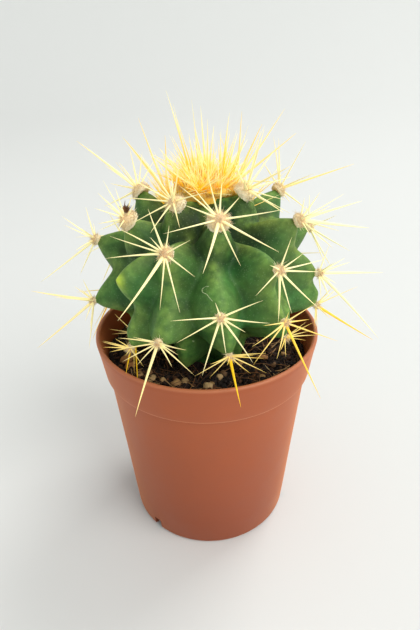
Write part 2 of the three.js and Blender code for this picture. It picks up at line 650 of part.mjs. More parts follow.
const spined = areoles.filter((areole) => !BARE_AREOLES.includes(areole.number)
  && fleshPoint(areole.azimuth, areole.polar, areole.r / Math.sin(areole.polar)).z > LOWEST_AREOLE_HEIGHT);
for (const areole of spined) {
  areole.frame = areoleFrame(areole);
  areole.padRadius = PAD_RADIUS_TOP + (PAD_RADIUS_LOW - PAD_RADIUS_TOP) * smoothStep(areole.arc, 18, 40);
  areole.home = `areole_${String(areole.number).padStart(2, '0')}`;
  pads.push({ home: areole.home, centre: areole.frame.seat, radius: areole.padRadius });
}

// The crown stands first, then the areoles from the top down
const apex = fleshPoint(0, 0, skinReach(0, 0));
const crownCentre = apex.clone().add(CROWN_OFFSET);
const crown = fuse(crownGeometry(crownCentre, 0), crownNeedles(crownCentre));
flesh = flesh.subtract(toSolid(crownGeometry(crownCentre, SEAT_AIR)));

const sprays = [];
for (const areole of spined) {
  const random = randomFrom(SPRAY_SEED + areole.number);
  const { frame } = areole;
  const needles = [];
  for (const [clock, length, lift] of spinesFor(areole, random)) {
    const radius = length > CENTRAL_LENGTH ? CENTRAL_RADIUS : NEEDLE_RADIUS;
    const root = frame.seat.clone().addScaledVector(frame.out, NEEDLE_ROOT_HEIGHT);
    const needle = placeNeedle(areole.home, root, frame, clock, lift, length, radius, areole.padRadius);
    if (needle) needles.push(needle);
  }
  sprays.push([areole.home, fuse(padGeometry(frame, areole.padRadius, PAD_THICKNESS), needles)]);
  const seat = padGeometry(frame, areole.padRadius + SEAT_AIR, PAD_THICKNESS + SEAT_AIR);
  flesh = flesh.subtract(toSolid(seat));
}

addMesh(group, 'cactus_body', flesh, skin);
addMesh(group, 'crown', crown, youngSpine);
for (const [name, solid] of sprays) addMesh(group, name, solid, spine);

export default group;
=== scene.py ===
"""Dresses the solids of a potted round cactus: skin, spines, wool, potting mix, pot and stage."""

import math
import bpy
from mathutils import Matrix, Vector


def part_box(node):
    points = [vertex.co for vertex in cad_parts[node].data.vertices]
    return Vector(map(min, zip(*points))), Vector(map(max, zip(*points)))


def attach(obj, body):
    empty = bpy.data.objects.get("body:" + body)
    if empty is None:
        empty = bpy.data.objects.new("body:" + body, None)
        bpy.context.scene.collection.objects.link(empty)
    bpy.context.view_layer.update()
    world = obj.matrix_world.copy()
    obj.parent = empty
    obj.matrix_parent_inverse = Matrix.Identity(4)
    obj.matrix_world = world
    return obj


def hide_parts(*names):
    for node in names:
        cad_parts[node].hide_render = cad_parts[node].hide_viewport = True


bl_info = {
    "name": "Potted round cactus",
    "version": (1, 0, 0),
    "blender": (4, 5, 0),
    "location": "3D View > Sidebar > Cactus",
    "description": "Skin, spines, wool, potting mix and pot of a young golden-spined cactus",
    "category": "Object",
}

import bmesh
import bpy
import numpy as np
from mathutils import Matrix, Vector, noise

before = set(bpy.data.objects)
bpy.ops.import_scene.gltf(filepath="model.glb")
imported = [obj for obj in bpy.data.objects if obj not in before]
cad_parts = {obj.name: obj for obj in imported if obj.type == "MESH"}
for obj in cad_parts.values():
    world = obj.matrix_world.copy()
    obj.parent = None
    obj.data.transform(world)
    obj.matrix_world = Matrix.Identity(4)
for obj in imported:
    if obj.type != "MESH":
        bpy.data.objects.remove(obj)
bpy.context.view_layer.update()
_, POT_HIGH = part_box("pot")

# The solids' rule is in millimetres, and the pieces are in metres
MM = 0.001

# Envelope of the tubercle tips: a squat superellipse, flat on top and narrow at the foot
FLESH_CENTRE = np.array([-0.7, 0.5, 77.2])
FLESH_RADIUS = 31.8
FLESH_UP = 27.8
FLESH_DOWN = 29.5
FLESH_UP_POWER = 2.95
FLESH_DOWN_POWER = 1.15
FLESH_LEAN = 0.073

# Areole number n stands five thirteenths of a turn from the one before
RIB_COUNT = 13
TURN_PER_AREOLE = 360 * 5 / RIB_COUNT
FIRST_AZIMUTH = 149.96
AREA_PER_AREOLE = 282.4
NUMBER_AT_APEX = 8.216
FIRST_AREOLE = 9
BARE_AREOLE = 22
BUD_AREOLE = 14

# How far single areoles stand off the rule: degrees round the body, millimetres down it and out from it
STRAYS = {
    9: (-3, 1, 0), 10: (-8, -1, 0), 11: (5, 4, 2), 12: (2, 0, 0), 14: (5, -2, 0), 15: (3, 3, 0),
    17: (-2, -1, 0), 18: (-2, -4, 1), 19: (8, 1, 0), 20: (-3, 2, 0), 22: (2, -1, 0), 23: (6, -1, 0),
    25: (-4, 2, 0), 27: (-8, 5, -1), 28: (5, -1, 0), 30: (-3, 1, 0), 32: (-11, 3, -1), 33: (-1, -3, 0),
    35: (3, 1, 0), 36: (-20, -2, 2.5), 38: (2, -2, 0), 40: (0, 0, -3), 41: (-14, -5, 1.5),
}

# Relief of the skin between the tips
RELIEF_REACH = 30.0
RIB_HALF_WIDTH = 9.0
RIB_FALL = 10.5
CREST_ROUNDING = 0.08
RISE_LENGTH = 17.0
RISE_FALL = 10.5
RISE_POWER = 1.15
CHIN_LENGTH = 14.0
CHIN_FALL = 13.0
CHIN_BLUNTNESS = 1.6
RISE_BLUNTNESS = 1.2
CREASE_WIDTH = 1.6
DEEPEST = 13.0
YOUNG_RELIEF = 0.25
FOOT_RELIEF = 0.45
FACING = 0.6

# Tubercles in front with broader crests than the rule's: the power by which their flanks fall
BROAD_BOSSES = {17: 1.15, 25: 1.4, 30: 1.25}

# Painted highlight bands on the crests: how far above each tip their middle lies, half their length, their width and
# their strength
BAND_RISE = 4
BAND_HALF_LENGTH = 9
BAND_WIDTH = 2.6
BAND_STRENGTH = 0.75

# Painted shade of the skin: the fall at which it is darkest in a valley, how much it lightens in the low valleys,
# how strong it is round the crown, and the yellow tip of the bare areole with its radius and how much longer it
# is down the rib
VALLEY_FALL = 9
VALLEY_LIGHTENING = 0.45
CROWN_SHADE = 1.15
BARE_RADIUS = 1.35
BARE_FORM = (1, 1, 0.42)

# Stretches of the skin, in millimetres down from the apex, over which the relief deepens, the painted shade
# round the crown fades, the painted shade in the valleys lightens, the pads shrink, their felt darkens, they
# wrap less of the tip, old ones narrow further, and old sprays turn golden
RELIEF_ZONE, SHADE_ZONE, VALLEY_ZONE, PAD_ZONE = (4, 17), (12, 23), (22, 34), (18, 40)
FELT_ZONE, WRAP_ZONE, OLD_PAD_ZONE, GOLD_ZONE = (14, 24), (19, 30), (40, 54), (44, 56)

# Wrinkles and swellings of the skin: how many there are in a radius, and their height
WRINKLES = (9, 0.12)
SWELLINGS = (4.3, 0.35)

# Stretches in millimetres below the mix's level where the ribs flatten towards the foot and then end
FOOT_ZONE, BURIED_ZONE = (-12.2, 0), (1, 6)

# Taproot: radius at its tip and at its top, length, and height of its middle
ROOT_RADII = (1.6, 5)
ROOT_LENGTH = 29.7
ROOT_MIDDLE = 38.8

# Surface of the potting mix, and its waves: turns in x and in y, phase and share
SOIL_LEVEL = 57.0
SOIL_SLOPE = -0.035
SOIL_ROUGHNESS = 0.45
SOIL_WAVES = ((0.42, 0.37, 1.3, 1), (0.93, -0.71, 0, 0.7), (0.31, 0.88, 1.6, 0.5))

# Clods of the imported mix: how many there are in a metre, their height, and how deep the body lies under them
CLOD_PITCH = 420
CLOD_HEIGHT = 0.7
CLOD_SINK = 0.2

# Loose pieces of the mix: a gamma law's shape and scale, and the least and greatest size
CRUMB_SIZES = (2.2, 0.19, 0.2, 1.2)
CHIP_SIZES = (3.0, 0.27, 0.4, 1.6)
GRAIN_SIZES = (3.0, 0.2, 0.3, 1.0)

# The larger grains and chips in front of the plant: places from the pot's middle, and sizes
GRIT_PLACES = ((-6.3, -17.4), (-8.4, -19.4), (-15.4, -17.3), (0.2, -20.6), (-12.1, -18.2), (-18.8, -15.2),
               (22.9, -3.2))
GRIT_SIZES = (1.2, 1.5, 1.4, 1.3, 0.9, 1.3, 1.1)
BARK_PLACES = ((-23.2, -8.4), (-21.8, -11.4), (16.1, -6.3), (-22.8, 2.4))
BARK_SIZES = (2.6, 1.8, 2.0, 2.2)
BARK_STAND = 0.5
BARK_TONE = 0.85
GRIT_TONES = (0.55, 0.95)

# How much of its size a chip and a grain stand over their place, and how far threads and fallen spines do
CHIP_RISE = 0.15
GRAIN_RISE = 0.4
FIBRE_RISE = (0.25, 0.2)
STRAW_RISE = (0.8, 0.9)

# Pot: how far the band's foot lies below the lip, with the neck under it, how far below the lip the painted highlight
# line lies, and where the drain slots are cut
BAND_HEIGHT = 11.7
BAND_EDGE = 11.5
DRAIN_TURNS = (-42, 74, 194)
DRAIN_SIZE = (2.8, 7.0, 7.2)
DRAIN_REACH = 23.1

# A curled scar between the two front areoles: its middle as azimuth and polar angle, and its course
# across and up the skin. A grain sticks to the foot
SCAR_PLACE = (1.3, 65.0)
SCAR = ((0.9, 0.7), (0.2, 0.7), (-0.6, 0.2), (-0.5, -0.4), (0.0, -0.7), (0.5, -0.9), (0.9, -1.5), (1.5, -2.2))
SCAR_BEADS = 60
SKIN_RADIUS = 26.0
GRAIN_PLACE = (-8.8, 108.8)

# Areole pads and crown wool
PAD_RADIUS_TOP = 2.4
PAD_RADIUS_LOW = 1.2
PAD_HEIGHT = 1.3
PAD_FULLNESS = 1.12
WRAP_LOSS = 0.22
OLD_PAD_LOSS = 0.2
PAD_DROOP = 0.2
NEEDLE_ROOT_HEIGHT = 0.2
STOUT_LENGTH = 16
CROWN_OFFSET = np.array([1.2, 5.5, 1.2])
CROWN_RADIUS = 8.4
CROWN_HEIGHT = 4.8
CROWN_ROOTS_RISE = 2.0
UNDER_TUFTS_IN = 3.4
UNDER_TUFTS_LOW = -1.6
HAIRS_PER_RADIUS = 250
CROWN_HAIRS = 2600
BUD_SCALES = 16
CROWN_TUFTS = 26
TUFT_SIZE = (1.9, 1.9, 1.3)
UNDER_TUFTS = 20
UNDER_TUFT_SIZE = (2.1, 2.1, 2.0)

# Youngest bunches of spines round the crown: azimuth in degrees and distance from the apex
YOUNG_BUNCHES = ((-127, 13.0), (-154.6, 15.5), (177.7, 17.0), (150, 15.5), (122.3, 14.0))
SPINES_PER_BUNCH = 22
FINER_BESIDE = 6

# The long spine that hangs over the lip in front: its areole and its tip
LONG_SPINE_AREOLE = 38
LONG_SPINE_TIP = (7.8, -38.5, 65.5)

# How golden the spines of single areoles are, where they differ from their neighbours
GOLDEN_SPRAYS = {9: 0.1, 10: 0.15, 11: 0.25, 13: 0.5, 16: 0.65, 18: 0.4, 30: 0.35, 33: 0.9, 35: 0.75, 36: 0.6,
                 38: 0.85, 40: 0.8, 41: 0.85}

# The camera that the picture was taken with, from the outlines of the pot
CAMERA_PLACE = Vector((0.00104, -0.12964, 0.14131))
CAMERA_PITCH = 29.34
CAMERA_ROLL = -1.052
CAMERA_LENS = 28.83

# Lamps: side of the square and place in metres, the point they face, and their colour
WINDOW = (0.92, (0.92, 0.92, 1.96))
FRONT_LAMP = (1.04, (0.86, -0.69, 1.1))
LAMPS_FACE = Vector((0, 0, 0.07))
LAMP_COLOUR = (1.0, 0.98, 0.95)

# Sweep: the flat floor's radius and the curve's, in millimetres
FLOOR_RADIUS = 900
CURVE_RADIUS = 900

FULL_TURN = 2 * math.pi


def smooth_step(value, low, high):
    """0 below low, 1 above high, and an even curve between."""
    t = np.clip((value - low) / (high - low), 0, 1)
    return t * t * (3 - 2 * t)


# The rule of the solids


def envelope_reach(polar):
    """Distance from the flesh's centre to the envelope of its tips."""
    rise = np.cos(polar)
    power = np.where(rise > 0, FLESH_UP_POWER, FLESH_DOWN_POWER)
    height = np.where(rise > 0, FLESH_UP, FLESH_DOWN)
    side = np.abs(np.sin(polar)) / FLESH_RADIUS
    return (side**power + (np.abs(rise) / height) ** power) ** (-1 / power)


POLAR = np.linspace(0, np.pi, 1201)
RADII = envelope_reach(POLAR) * np.sin(POLAR)
HEIGHTS = envelope_reach(POLAR) * np.cos(POLAR)
STEPS = np.hypot(np.diff(RADII), np.diff(HEIGHTS))
ARCS = np.concatenate([[0], np.cumsum(STEPS)])
NUMBERS = NUMBER_AT_APEX + np.concatenate(
    [[0], np.cumsum(np.pi * (RADII[1:] + RADII[:-1]) * STEPS / AREA_PER_AREOLE)])


def areole_place(number):
    """An areole of the rule: its number, azimuth, arc from the apex, radius, facing and tilt."""
    turn, slide, out = STRAYS.get(number, (0, 0, 0))
    arc = np.interp(number, NUMBERS, ARCS) + slide
    low = int(np.searchsorted(ARCS, arc, side="right")) - 1
    before, after = max(0, low - 3), min(len(ARCS) - 1, low + 4)
    slope = math.atan2(RADII[after] - RADII[before], HEIGHTS[before] - HEIGHTS[after])
    return {
        "number": number,
        "azimuth": math.radians(FIRST_AZIMUTH + TURN_PER_AREOLE * number + turn),
        "arc": arc,
        "radius": np.interp(arc, ARCS, RADII),
        "polar": np.interp(arc, ARCS, POLAR),
        "rise": slope * FACING,
        "tilt": math.tan(max(0, slope) * (1 - FACING)),
        "out": out,
    }


AREOLES = {number: areole_place(number) for number in range(FIRST_AREOLE, int(NUMBERS[-1]))}

# The areole nodes of the frame with their places in the rule
SPRAYS = [(name, AREOLES[int(name[-2:])]) for name in sorted(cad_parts) if name.startswith("areole_")]
SPRAY_NAMES = [name for name, _ in SPRAYS]


def skin_fall(azimuth, polar):
    """How far the skin lies behind the envelope before it fades at the crown and foot, and how far
    the painted highlight band on the nearest rib's crest is, both in millimetres."""
    arc = np.interp(polar, POLAR, ARCS)
    radius = np.interp(polar, POLAR, RADII)
    width = RIB_HALF_WIDTH * np.sqrt(np.maximum(radius, 4) / FLESH_RADIUS)
    total = np.full_like(arc, math.exp(-DEEPEST / CREASE_WIDTH))
    crest = np.full_like(arc, RIB_HALF_WIDTH)
    for tip in AREOLES.values():
        down = arc - tip["arc"]
        turn = (azimuth - tip["azimuth"] + np.pi) % FULL_TURN - np.pi
        across = turn * np.sqrt(radius * tip["radius"])
        flank = (np.hypot(across / width, CREST_ROUNDING) - CREST_ROUNDING) ** BROAD_BOSSES.get(tip["number"], 1)
        chin = CHIN_FALL * np.maximum(down, 0) / CHIN_LENGTH
        rise = RISE_FALL * (np.maximum(-down, 0) / RISE_LENGTH) ** RISE_POWER + np.maximum(0, -down) * tip["tilt"]
        blunt = np.where(down > 0, CHIN_BLUNTNESS, RISE_BLUNTNESS)
        fall = ((RIB_FALL * flank) ** blunt + (chin + rise) ** blunt) ** (1 / blunt) - tip["out"]
        near = (np.abs(down) <= RELIEF_REACH) & (np.abs(across) <= RELIEF_REACH)
        total += np.where(near, np.exp(-fall / CREASE_WIDTH), 0)
        beyond = np.maximum(0, np.abs(down + BAND_RISE) - BAND_HALF_LENGTH)
        crest = np.minimum(crest, np.hypot(across, beyond))
    return -CREASE_WIDTH * np.log(total), crest


def skin_depth(azimuth, polar):
    """How far the skin lies behind the envelope, in millimetres."""
    under_soil = SOIL_LEVEL - FLESH_CENTRE[2] - np.interp(polar, POLAR, HEIGHTS)
    young = YOUNG_RELIEF + (1 - YOUNG_RELIEF) * smooth_step(np.interp(polar, POLAR, ARCS), *RELIEF_ZONE)
    old = 1 - (1 - FOOT_RELIEF) * smooth_step(under_soil, *FOOT_ZONE)
    return skin_fall(azimuth, polar)[0] * young * old * (1 - smooth_step(under_soil, *BURIED_ZONE))


def around(azimuth, radius, height):
    """Places at azimuths, radii and heights."""
    return np.stack(np.broadcast_arrays(radius * np.sin(azimuth), -radius * np.cos(azimuth), height), -1)


def flesh_points(azimuth, polar, reach):
    """Places on the plant, in millimetres, from azimuth, polar angle and distance from its centre."""
    side = reach * np.sin(polar)
    x, y, z = side * np.sin(azimuth), -side * np.cos(azimuth), reach * np.cos(polar)
    return np.stack([x, y, z + FLESH_LEAN * x], -1) + FLESH_CENTRE


def skin_points(azimuth, polar):
    """Places on the skin, in millimetres."""
    azimuth, polar = np.atleast_1d(azimuth), np.atleast_1d(polar)
    return flesh_points(azimuth, polar, envelope_reach(polar) - skin_depth(azimuth, polar))


CROWN_CENTRE = skin_points(0.0, 0.0)[0] + CROWN_OFFSET


def soil_height(x, y):
    """Height of the mix's surface, in millimetres."""
    waves = sum(share * np.sin(kx * x + ky * y + phase) for kx, ky, phase, share in SOIL_WAVES)
    return SOIL_LEVEL + SOIL_SLOPE * x + SOIL_ROUGHNESS * waves


def areole_facing(place):
    """An areole's seat in millimetres, and its sideways, upward and outward directions."""
    azimuth, rise = place["azimuth"], place["rise"]
    radial = around(azimuth, 1, 0)
    sideways = np.array([math.cos(azimuth), math.sin(azimuth), 0])
    up = np.array([0, 0, 1.0])
    return (skin_points(azimuth, place["polar"])[0], sideways,
            up * math.cos(rise) - radial * math.sin(rise), radial * math.cos(rise) + up * math.sin(rise))


def come_in(place, zone):
    """How far an areole is through a stretch of the skin, from 0 to 1."""
    return float(smooth_step(place["arc"], *zone))


def pad_radius(place):
    """Half the width of an areole's felt, in millimetres."""
    return PAD_RADIUS_TOP + (PAD_RADIUS_LOW - PAD_RADIUS_TOP) * come_in(place, PAD_ZONE)


# Meshes


def piece(name, mesh, material, slot, *nodes):
    """A finished piece that rides on the one body and stands for the nodes named."""
    shape = bpy.data.objects.new(name, mesh)
    bpy.context.scene.collection.objects.link(shape)
    mesh.materials.append(material)
    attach(shape, "root")
    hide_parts(*nodes)
    return shape


def finished(bm, name):
    """The bmesh as a smooth-shaded mesh."""
    mesh = bpy.data.meshes.new(name)
    bm.to_mesh(mesh)
    bm.free()
    mesh.shade_smooth()
    return mesh


def turned(outline, steps):
    """An outline of radii and heights in millimetres, turned a full circle in so many steps."""
    bm = bmesh.new()
    chain = [bm.verts.new((x * MM, 0, z * MM)) for x, z in outline]
    edges = [bm.edges.new(pair) for pair in zip(chain, chain[1:])]
    bmesh.ops.spin(
        bm, geom=chain + edges, cent=(0, 0, 0), axis=(0, 0, 1), angle=FULL_TURN, steps=steps, use_merge=True)
    bmesh.ops.remove_doubles(bm, verts=bm.verts, dist=1e-7)
    bmesh.ops.recalc_face_normals(bm, faces=bm.faces)
    return bm


def shape_of(bm):
    """A bmesh's corners and faces as a pattern to repeat."""
    bm.verts.index_update()
    corners = np.array([v.co[:] for v in bm.verts])
    faces = [[v.index for v in f.verts] for f in bm.faces]
    bm.free()
    return corners, faces


def crowd(name, pattern, placed, material, slot, *nodes, **marks):
    """A piece of many copies of a pattern. placed has each copy's corners, and marks are its attributes."""
    corners, faces = pattern
    size = len(corners)
    mesh = bpy.data.meshes.new(name)
    everything = [[v + i * size for v in f] for i in range(len(placed)) for f in faces]
    mesh.from_pydata(np.reshape(placed, (-1, 3)) * MM, [], everything)
    for mark, values in marks.items():
        layer = mesh.attributes.new(mark, "FLOAT", "POINT")
        values = np.asarray(values, np.float32)
        values = np.repeat(values, size) if values.ndim == 1 else values.reshape(-1)
        layer.data.foreach_set("value", values)
    mesh.shade_smooth()
    piece(name, mesh, material, slot, *nodes)


def turned_about(axis_z, twist):
    """For each direction, a turned set of three axes whose third lies along it."""
    z = axis_z / np.linalg.norm(axis_z, axis=-1, keepdims=True)
    helper = np.where(np.abs(z[:, 2:3]) < 0.9, [[0.0, 0.0, 1.0]], [[1.0, 0.0, 0.0]])
    x = np.cross(helper, z)
    x /= np.linalg.norm(x, axis=-1, keepdims=True)
    y = np.cross(z, x)
    c, s = np.cos(twist)[:, None], np.sin(twist)[:, None]
    return np.stack([c * x + s * y, -s * x + c * y, z], 1)


def needle_pattern(sides, rings):
    """A needle one unit long and one unit thick at its root, in rings along +Z, its point at 1."""
    bm = bmesh.new()
    bmesh.ops.create_cone(bm, cap_ends=True, segments=sides, radius1=1, radius2=0.02, depth=1)
    bmesh.ops.translate(bm, vec=(0, 0, 0.5), verts=bm.verts)
    long_edges = [e for e in bm.edges if abs(e.verts[0].co.z - e.verts[1].co.z) > 0.5]
    bmesh.ops.subdivide_edges(bm, edges=long_edges, cuts=rings - 1, use_grid_fill=False)
    return shape_of(bm)


def needles(pattern, roots, tips, random, thick, bend, turn=6, flat=1.0, taper=0.75):
    """Corners of slender needles, one for each root and tip. thick has their radii at the root, or the least
    and greatest of them. Each bends to one side by up to bend of its length, and is turned its own way."""
    count = len(roots)
    if isinstance(thick, tuple):
        thick = random.uniform(*thick, count)
    bend = random.uniform(-bend, bend, count)
    frames = turned_about(tips - roots, random.uniform(0, turn, count))
    length = np.linalg.norm(tips - roots, axis=1)
    corners, _ = pattern
    along = corners[:, 2]
    narrow = np.maximum(1 - along, 0.02) ** taper / np.maximum(1 - along * 0.98, 0.02)
    bow = 4 * (along * (1 - along))
    x = (corners[:, 0] * narrow)[None, :] * thick[:, None] + (bend * length)[:, None] * bow[None, :]
    y = (corners[:, 1] * narrow * flat)[None, :] * thick[:, None]
    local = np.stack([x, y, along[None, :] * length[:, None]], -1)
    return roots[:, None, :] + np.einsum("nij,nki->nkj", frames, local)


def lump_pattern(fineness):
    """A round lump to squash into crumbs and grains."""
    bm = bmesh.new()
    bmesh.ops.create_icosphere(bm, subdivisions=fineness, radius=1)
    return shape_of(bm)


def lumps(pattern, centres, sizes, random, roughness=0.25, flatness=(0.5, 1.0)):
    """Corners of uneven lumps, each squashed, dented and turned its own way."""
    corners, _ = pattern
    count = len(centres)
    scale = sizes[:, None] * np.stack([
        np.ones(count), random.uniform(0.6, 1.0, count), random.uniform(*flatness, count)], 1)
    dents = 1 + roughness * random.uniform(-1, 1, (count, len(corners)))
    local = corners[None] * dents[:, :, None] * scale[:, None, :]
    ways = random.normal(size=(count, 3)) * [0.45, 0.45, 0] + [0, 0, 1]
    frames = turned_about(ways, random.uniform(0, FULL_TURN, count))
    return centres[:, None, :] + np.einsum("nij,nki->nkj", frames, local)


def spines_of_node(node, centre, wool):
    """Tips of the spines in a solid: corners beyond the wool whose edges all run back towards the centre."""
    bm = bmesh.new()
    bm.from_mesh(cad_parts[node].data)
    bmesh.ops.remove_doubles(bm, verts=bm.verts, dist=1e-6)
    found = []
    for v in bm.verts:
        ways = [(v.co - e.other_vert(v).co).normalized() for e in v.link_edges]
        middle = sum(ways, Vector()).normalized()
        tip = np.array(v.co) / MM
        reach = np.linalg.norm(tip - centre)
        if min(way.dot(middle) for way in ways) > 0.95 and reach > wool:
            if np.dot(np.array(middle), tip - centre) > 0.85 * reach:
                found.append((tip, np.array(middle)))
    bm.free()
    return found


# Materials


def linear(colour):
    """An sRGB hex colour as linear red, green, blue and alpha."""
    parts = [int(colour[i : i + 2], 16) / 255 for i in (1, 3, 5)]
    return tuple(p / 12.92 if p <= 0.04045 else ((p + 0.055) / 1.055) ** 2.4 for p in parts) + (1.0,)


def feed(tree, node, links):
    """Links sockets, or the first sockets of nodes, into a node."""
    for socket, source in links.items():
        tree.links.new(getattr(source, "outputs", [source])[0], node.inputs[socket])


def add(tree, kind, settings=None, values=None, links=None, stops=None):
    """Adds a shader node with its settings, socket values, links and, on a ramp, its stops."""
    node = tree.nodes.new("ShaderNode" + kind)
    for name, value in (settings or {}).items():
        setattr(node, name, value)
    for socket, value in (values or {}).items():
        node.inputs[socket].default_value = value
    feed(tree, node, links or {})
    if stops:
        elements = node.color_ramp.elements
        while len(elements) < len(stops):
            elements.new(0.5)
        for element, (place, colour) in zip(elements, stops):
            element.position = place
            element.color = colour
    return node


def span(low, high, start=0.0, end=1.0):
    """Values that map start to low and end to high."""
    return {"From Min": start, "From Max": end, "To Min": low, "To Max": high}


def material(name, **surface):
    """A new material and its tree, with a principled shader whose even values are given."""
    made = bpy.data.materials.new(name)
    made.use_nodes = True
    tree = made.node_tree
    shader = tree.nodes["Principled BSDF"]
    for socket, value in surface.items():
        shader.inputs[socket.replace("_", " ")].default_value = value
    return made, tree, shader


def loose_material(name, mark, stops, grain, spread, relief, relief_grain=None, **surface):
    """Surface of grains, threads and hairs. Its colour runs over the stops by the pieces' own mark, and grains
    spread its brightness: how many there are in a metre, and their detail. These, or grains of their own,
    give the relief's strength and depth. A surface with a glow glows in its own colour."""
    made, tree, shader = material(name, **surface)
    place = add(tree, "TexCoord").outputs["Object"]
    tone = add(tree, "Attribute", {"attribute_name": mark})
    ramp = add(tree, "ValToRGB", links={0: tone.outputs["Fac"]}, stops=stops)
    grains = [add(tree, "TexNoise", values={"Scale": scale, "Detail": detail}, links={"Vector": place})
              for scale, detail in filter(None, (grain, relief_grain))]
    bright = add(tree, "MapRange", values=span(*spread), links={0: grains[0]})
    shade = add(tree, "HueSaturation", links={"Value": bright, "Color": ramp})
    bump = add(tree, "Bump", values={"Strength": relief[0], "Distance": relief[1]}, links={"Height": grains[-1]})
    feed(tree, shader, {"Base Color": shade, "Normal": bump})
    if "Emission_Strength" in surface:
        feed(tree, shader, {"Emission Color": shade})
    return made


# Settings


def paint(name, description, colour):
    """A colour setting with its sRGB hex colour as the default."""
    return bpy.props.FloatVectorProperty(
        name=name, description=description, size=4, subtype="COLOR", default=linear(colour))


class PotSettings(bpy.types.PropertyGroup):
    wall: bpy.props.FloatProperty(
        name="Wall", description="Thickness of the moulded wall", default=0.0012, unit="LENGTH")
    colour: paint("Colour", "Terracotta colour of the plastic", "#a75024")
    # Colour of the painted shade near the foot
    painted_foot_shade: paint("Foot colour", "Deeper tone near the foot", "#883a18")


class MixSettings(bpy.types.PropertyGroup):
    crumbs: bpy.props.IntProperty(name="Crumbs", description="Loose crumbs on the surface", default=5200)
    chips: bpy.props.IntProperty(name="Chips", description="Chips of bark and wood", default=110)
    fibres: bpy.props.IntProperty(name="Fibres", description="Fibres of peat and coir", default=420)
    grit: bpy.props.IntProperty(name="Grit", description="Pale grains on the surface", default=60)
    fallen: bpy.props.IntProperty(name="Fallen spines", description="Old spines that lie on the mix", default=44)
    colour: paint("Colour", "Colour of the damp peat", "#2a1c14")


class FleshSettings(bpy.types.PropertyGroup):
    # Colour of the painted highlight bands on the crests
    crest: paint("Crest", "Skin on the ribs' crests", "#82a04a")
    flank: paint("Flank", "Skin on the ribs' sides", "#487135")
    # Colour of the painted shade in the valleys and round the crown
    valley: paint("Valley", "Skin in the valleys", "#213c1b")
    bare: paint("Bare", "Skin where the spines have fallen", "#c6de4c")
    columns: bpy.props.IntProperty(name="Columns", description="Faces round the body", default=338)
    rows: bpy.props.IntProperty(name="Rows", description="Faces from crown to foot", default=260)


class SpineSettings(bpy.types.PropertyGroup):
    pale: paint("Pale", "Horn of the spines", "#fff5ba")
    gold: paint("Gold", "Young spines and golden points", "#ffcd16")
    thickness: bpy.props.FloatProperty(
        name="Thickness", description="Radius of a slender spine at its root", default=0.00030, unit="LENGTH")
    stout: bpy.props.FloatProperty(
        name="Stout", description="Radius of a stout spine at its root", default=0.00046, unit="LENGTH")


class StageSettings(bpy.types.PropertyGroup):
    floor: paint("Floor", "Colour of the sweep", "#e0e3e2")
    sky: bpy.props.FloatProperty(name="Sky", description="Strength of the even light", default=0.58)
    window: bpy.props.FloatProperty(name="Window", description="Power of the light behind in watts", default=18.8)
    front: bpy.props.FloatProperty(name="Front", description="Power of the light in front in watts", default=13.2)


# Pot


def arc_points(radius, height, size, start, end, steps):
    """Points of a rounded corner, from one angle to another in degrees from the outward direction."""
    angles = np.radians(np.linspace(start, end, steps + 1))
    return [(radius + size * math.cos(a), height + size * math.sin(a)) for a in angles]


def pot_outline(wall):
    """The wall's cross-section from the middle of the underside round the lip to the middle of the floor."""
    height = POT_HIGH.z / MM
    neck = height - BAND_HEIGHT
    lip = wall / 2
    return (
        [(0.0, 0.5), (17.0, 0.5), (18.5, 0.12), (19.2, 0.0), (23.6, 0.0)]
        + arc_points(24.4, 1.0, 1.0, -90, -8, 6)
        + [(26.2, 10.0), (27.5, 26.0), (28.8, 41.0), (29.75, neck - 2.0), (29.93, neck - 0.55)]
        + arc_points(30.28, neck - 0.25, 0.3, 180, 110, 3)
        + arc_points(30.55, neck + 0.38, 0.38, -90, -5, 4)
        + [(31.3, neck + 3.0), (31.9, neck + 7.5), (32.25, height - 2.2)]
        + arc_points(32.5 - lip, height - lip, lip, 0, 180, 8)
        + [(30.9, height - 2.4), (30.3, neck + 4.0), (29.9, neck + 1.4), (28.95, neck + 0.2), (28.7, neck - 0.8)]
        + [(26.5, 26.0), (24.7, 5.0)]
        + arc_points(23.2, 2.4, 1.0, 0, -90, 4)
        + [(0.0, 1.4)]
    )


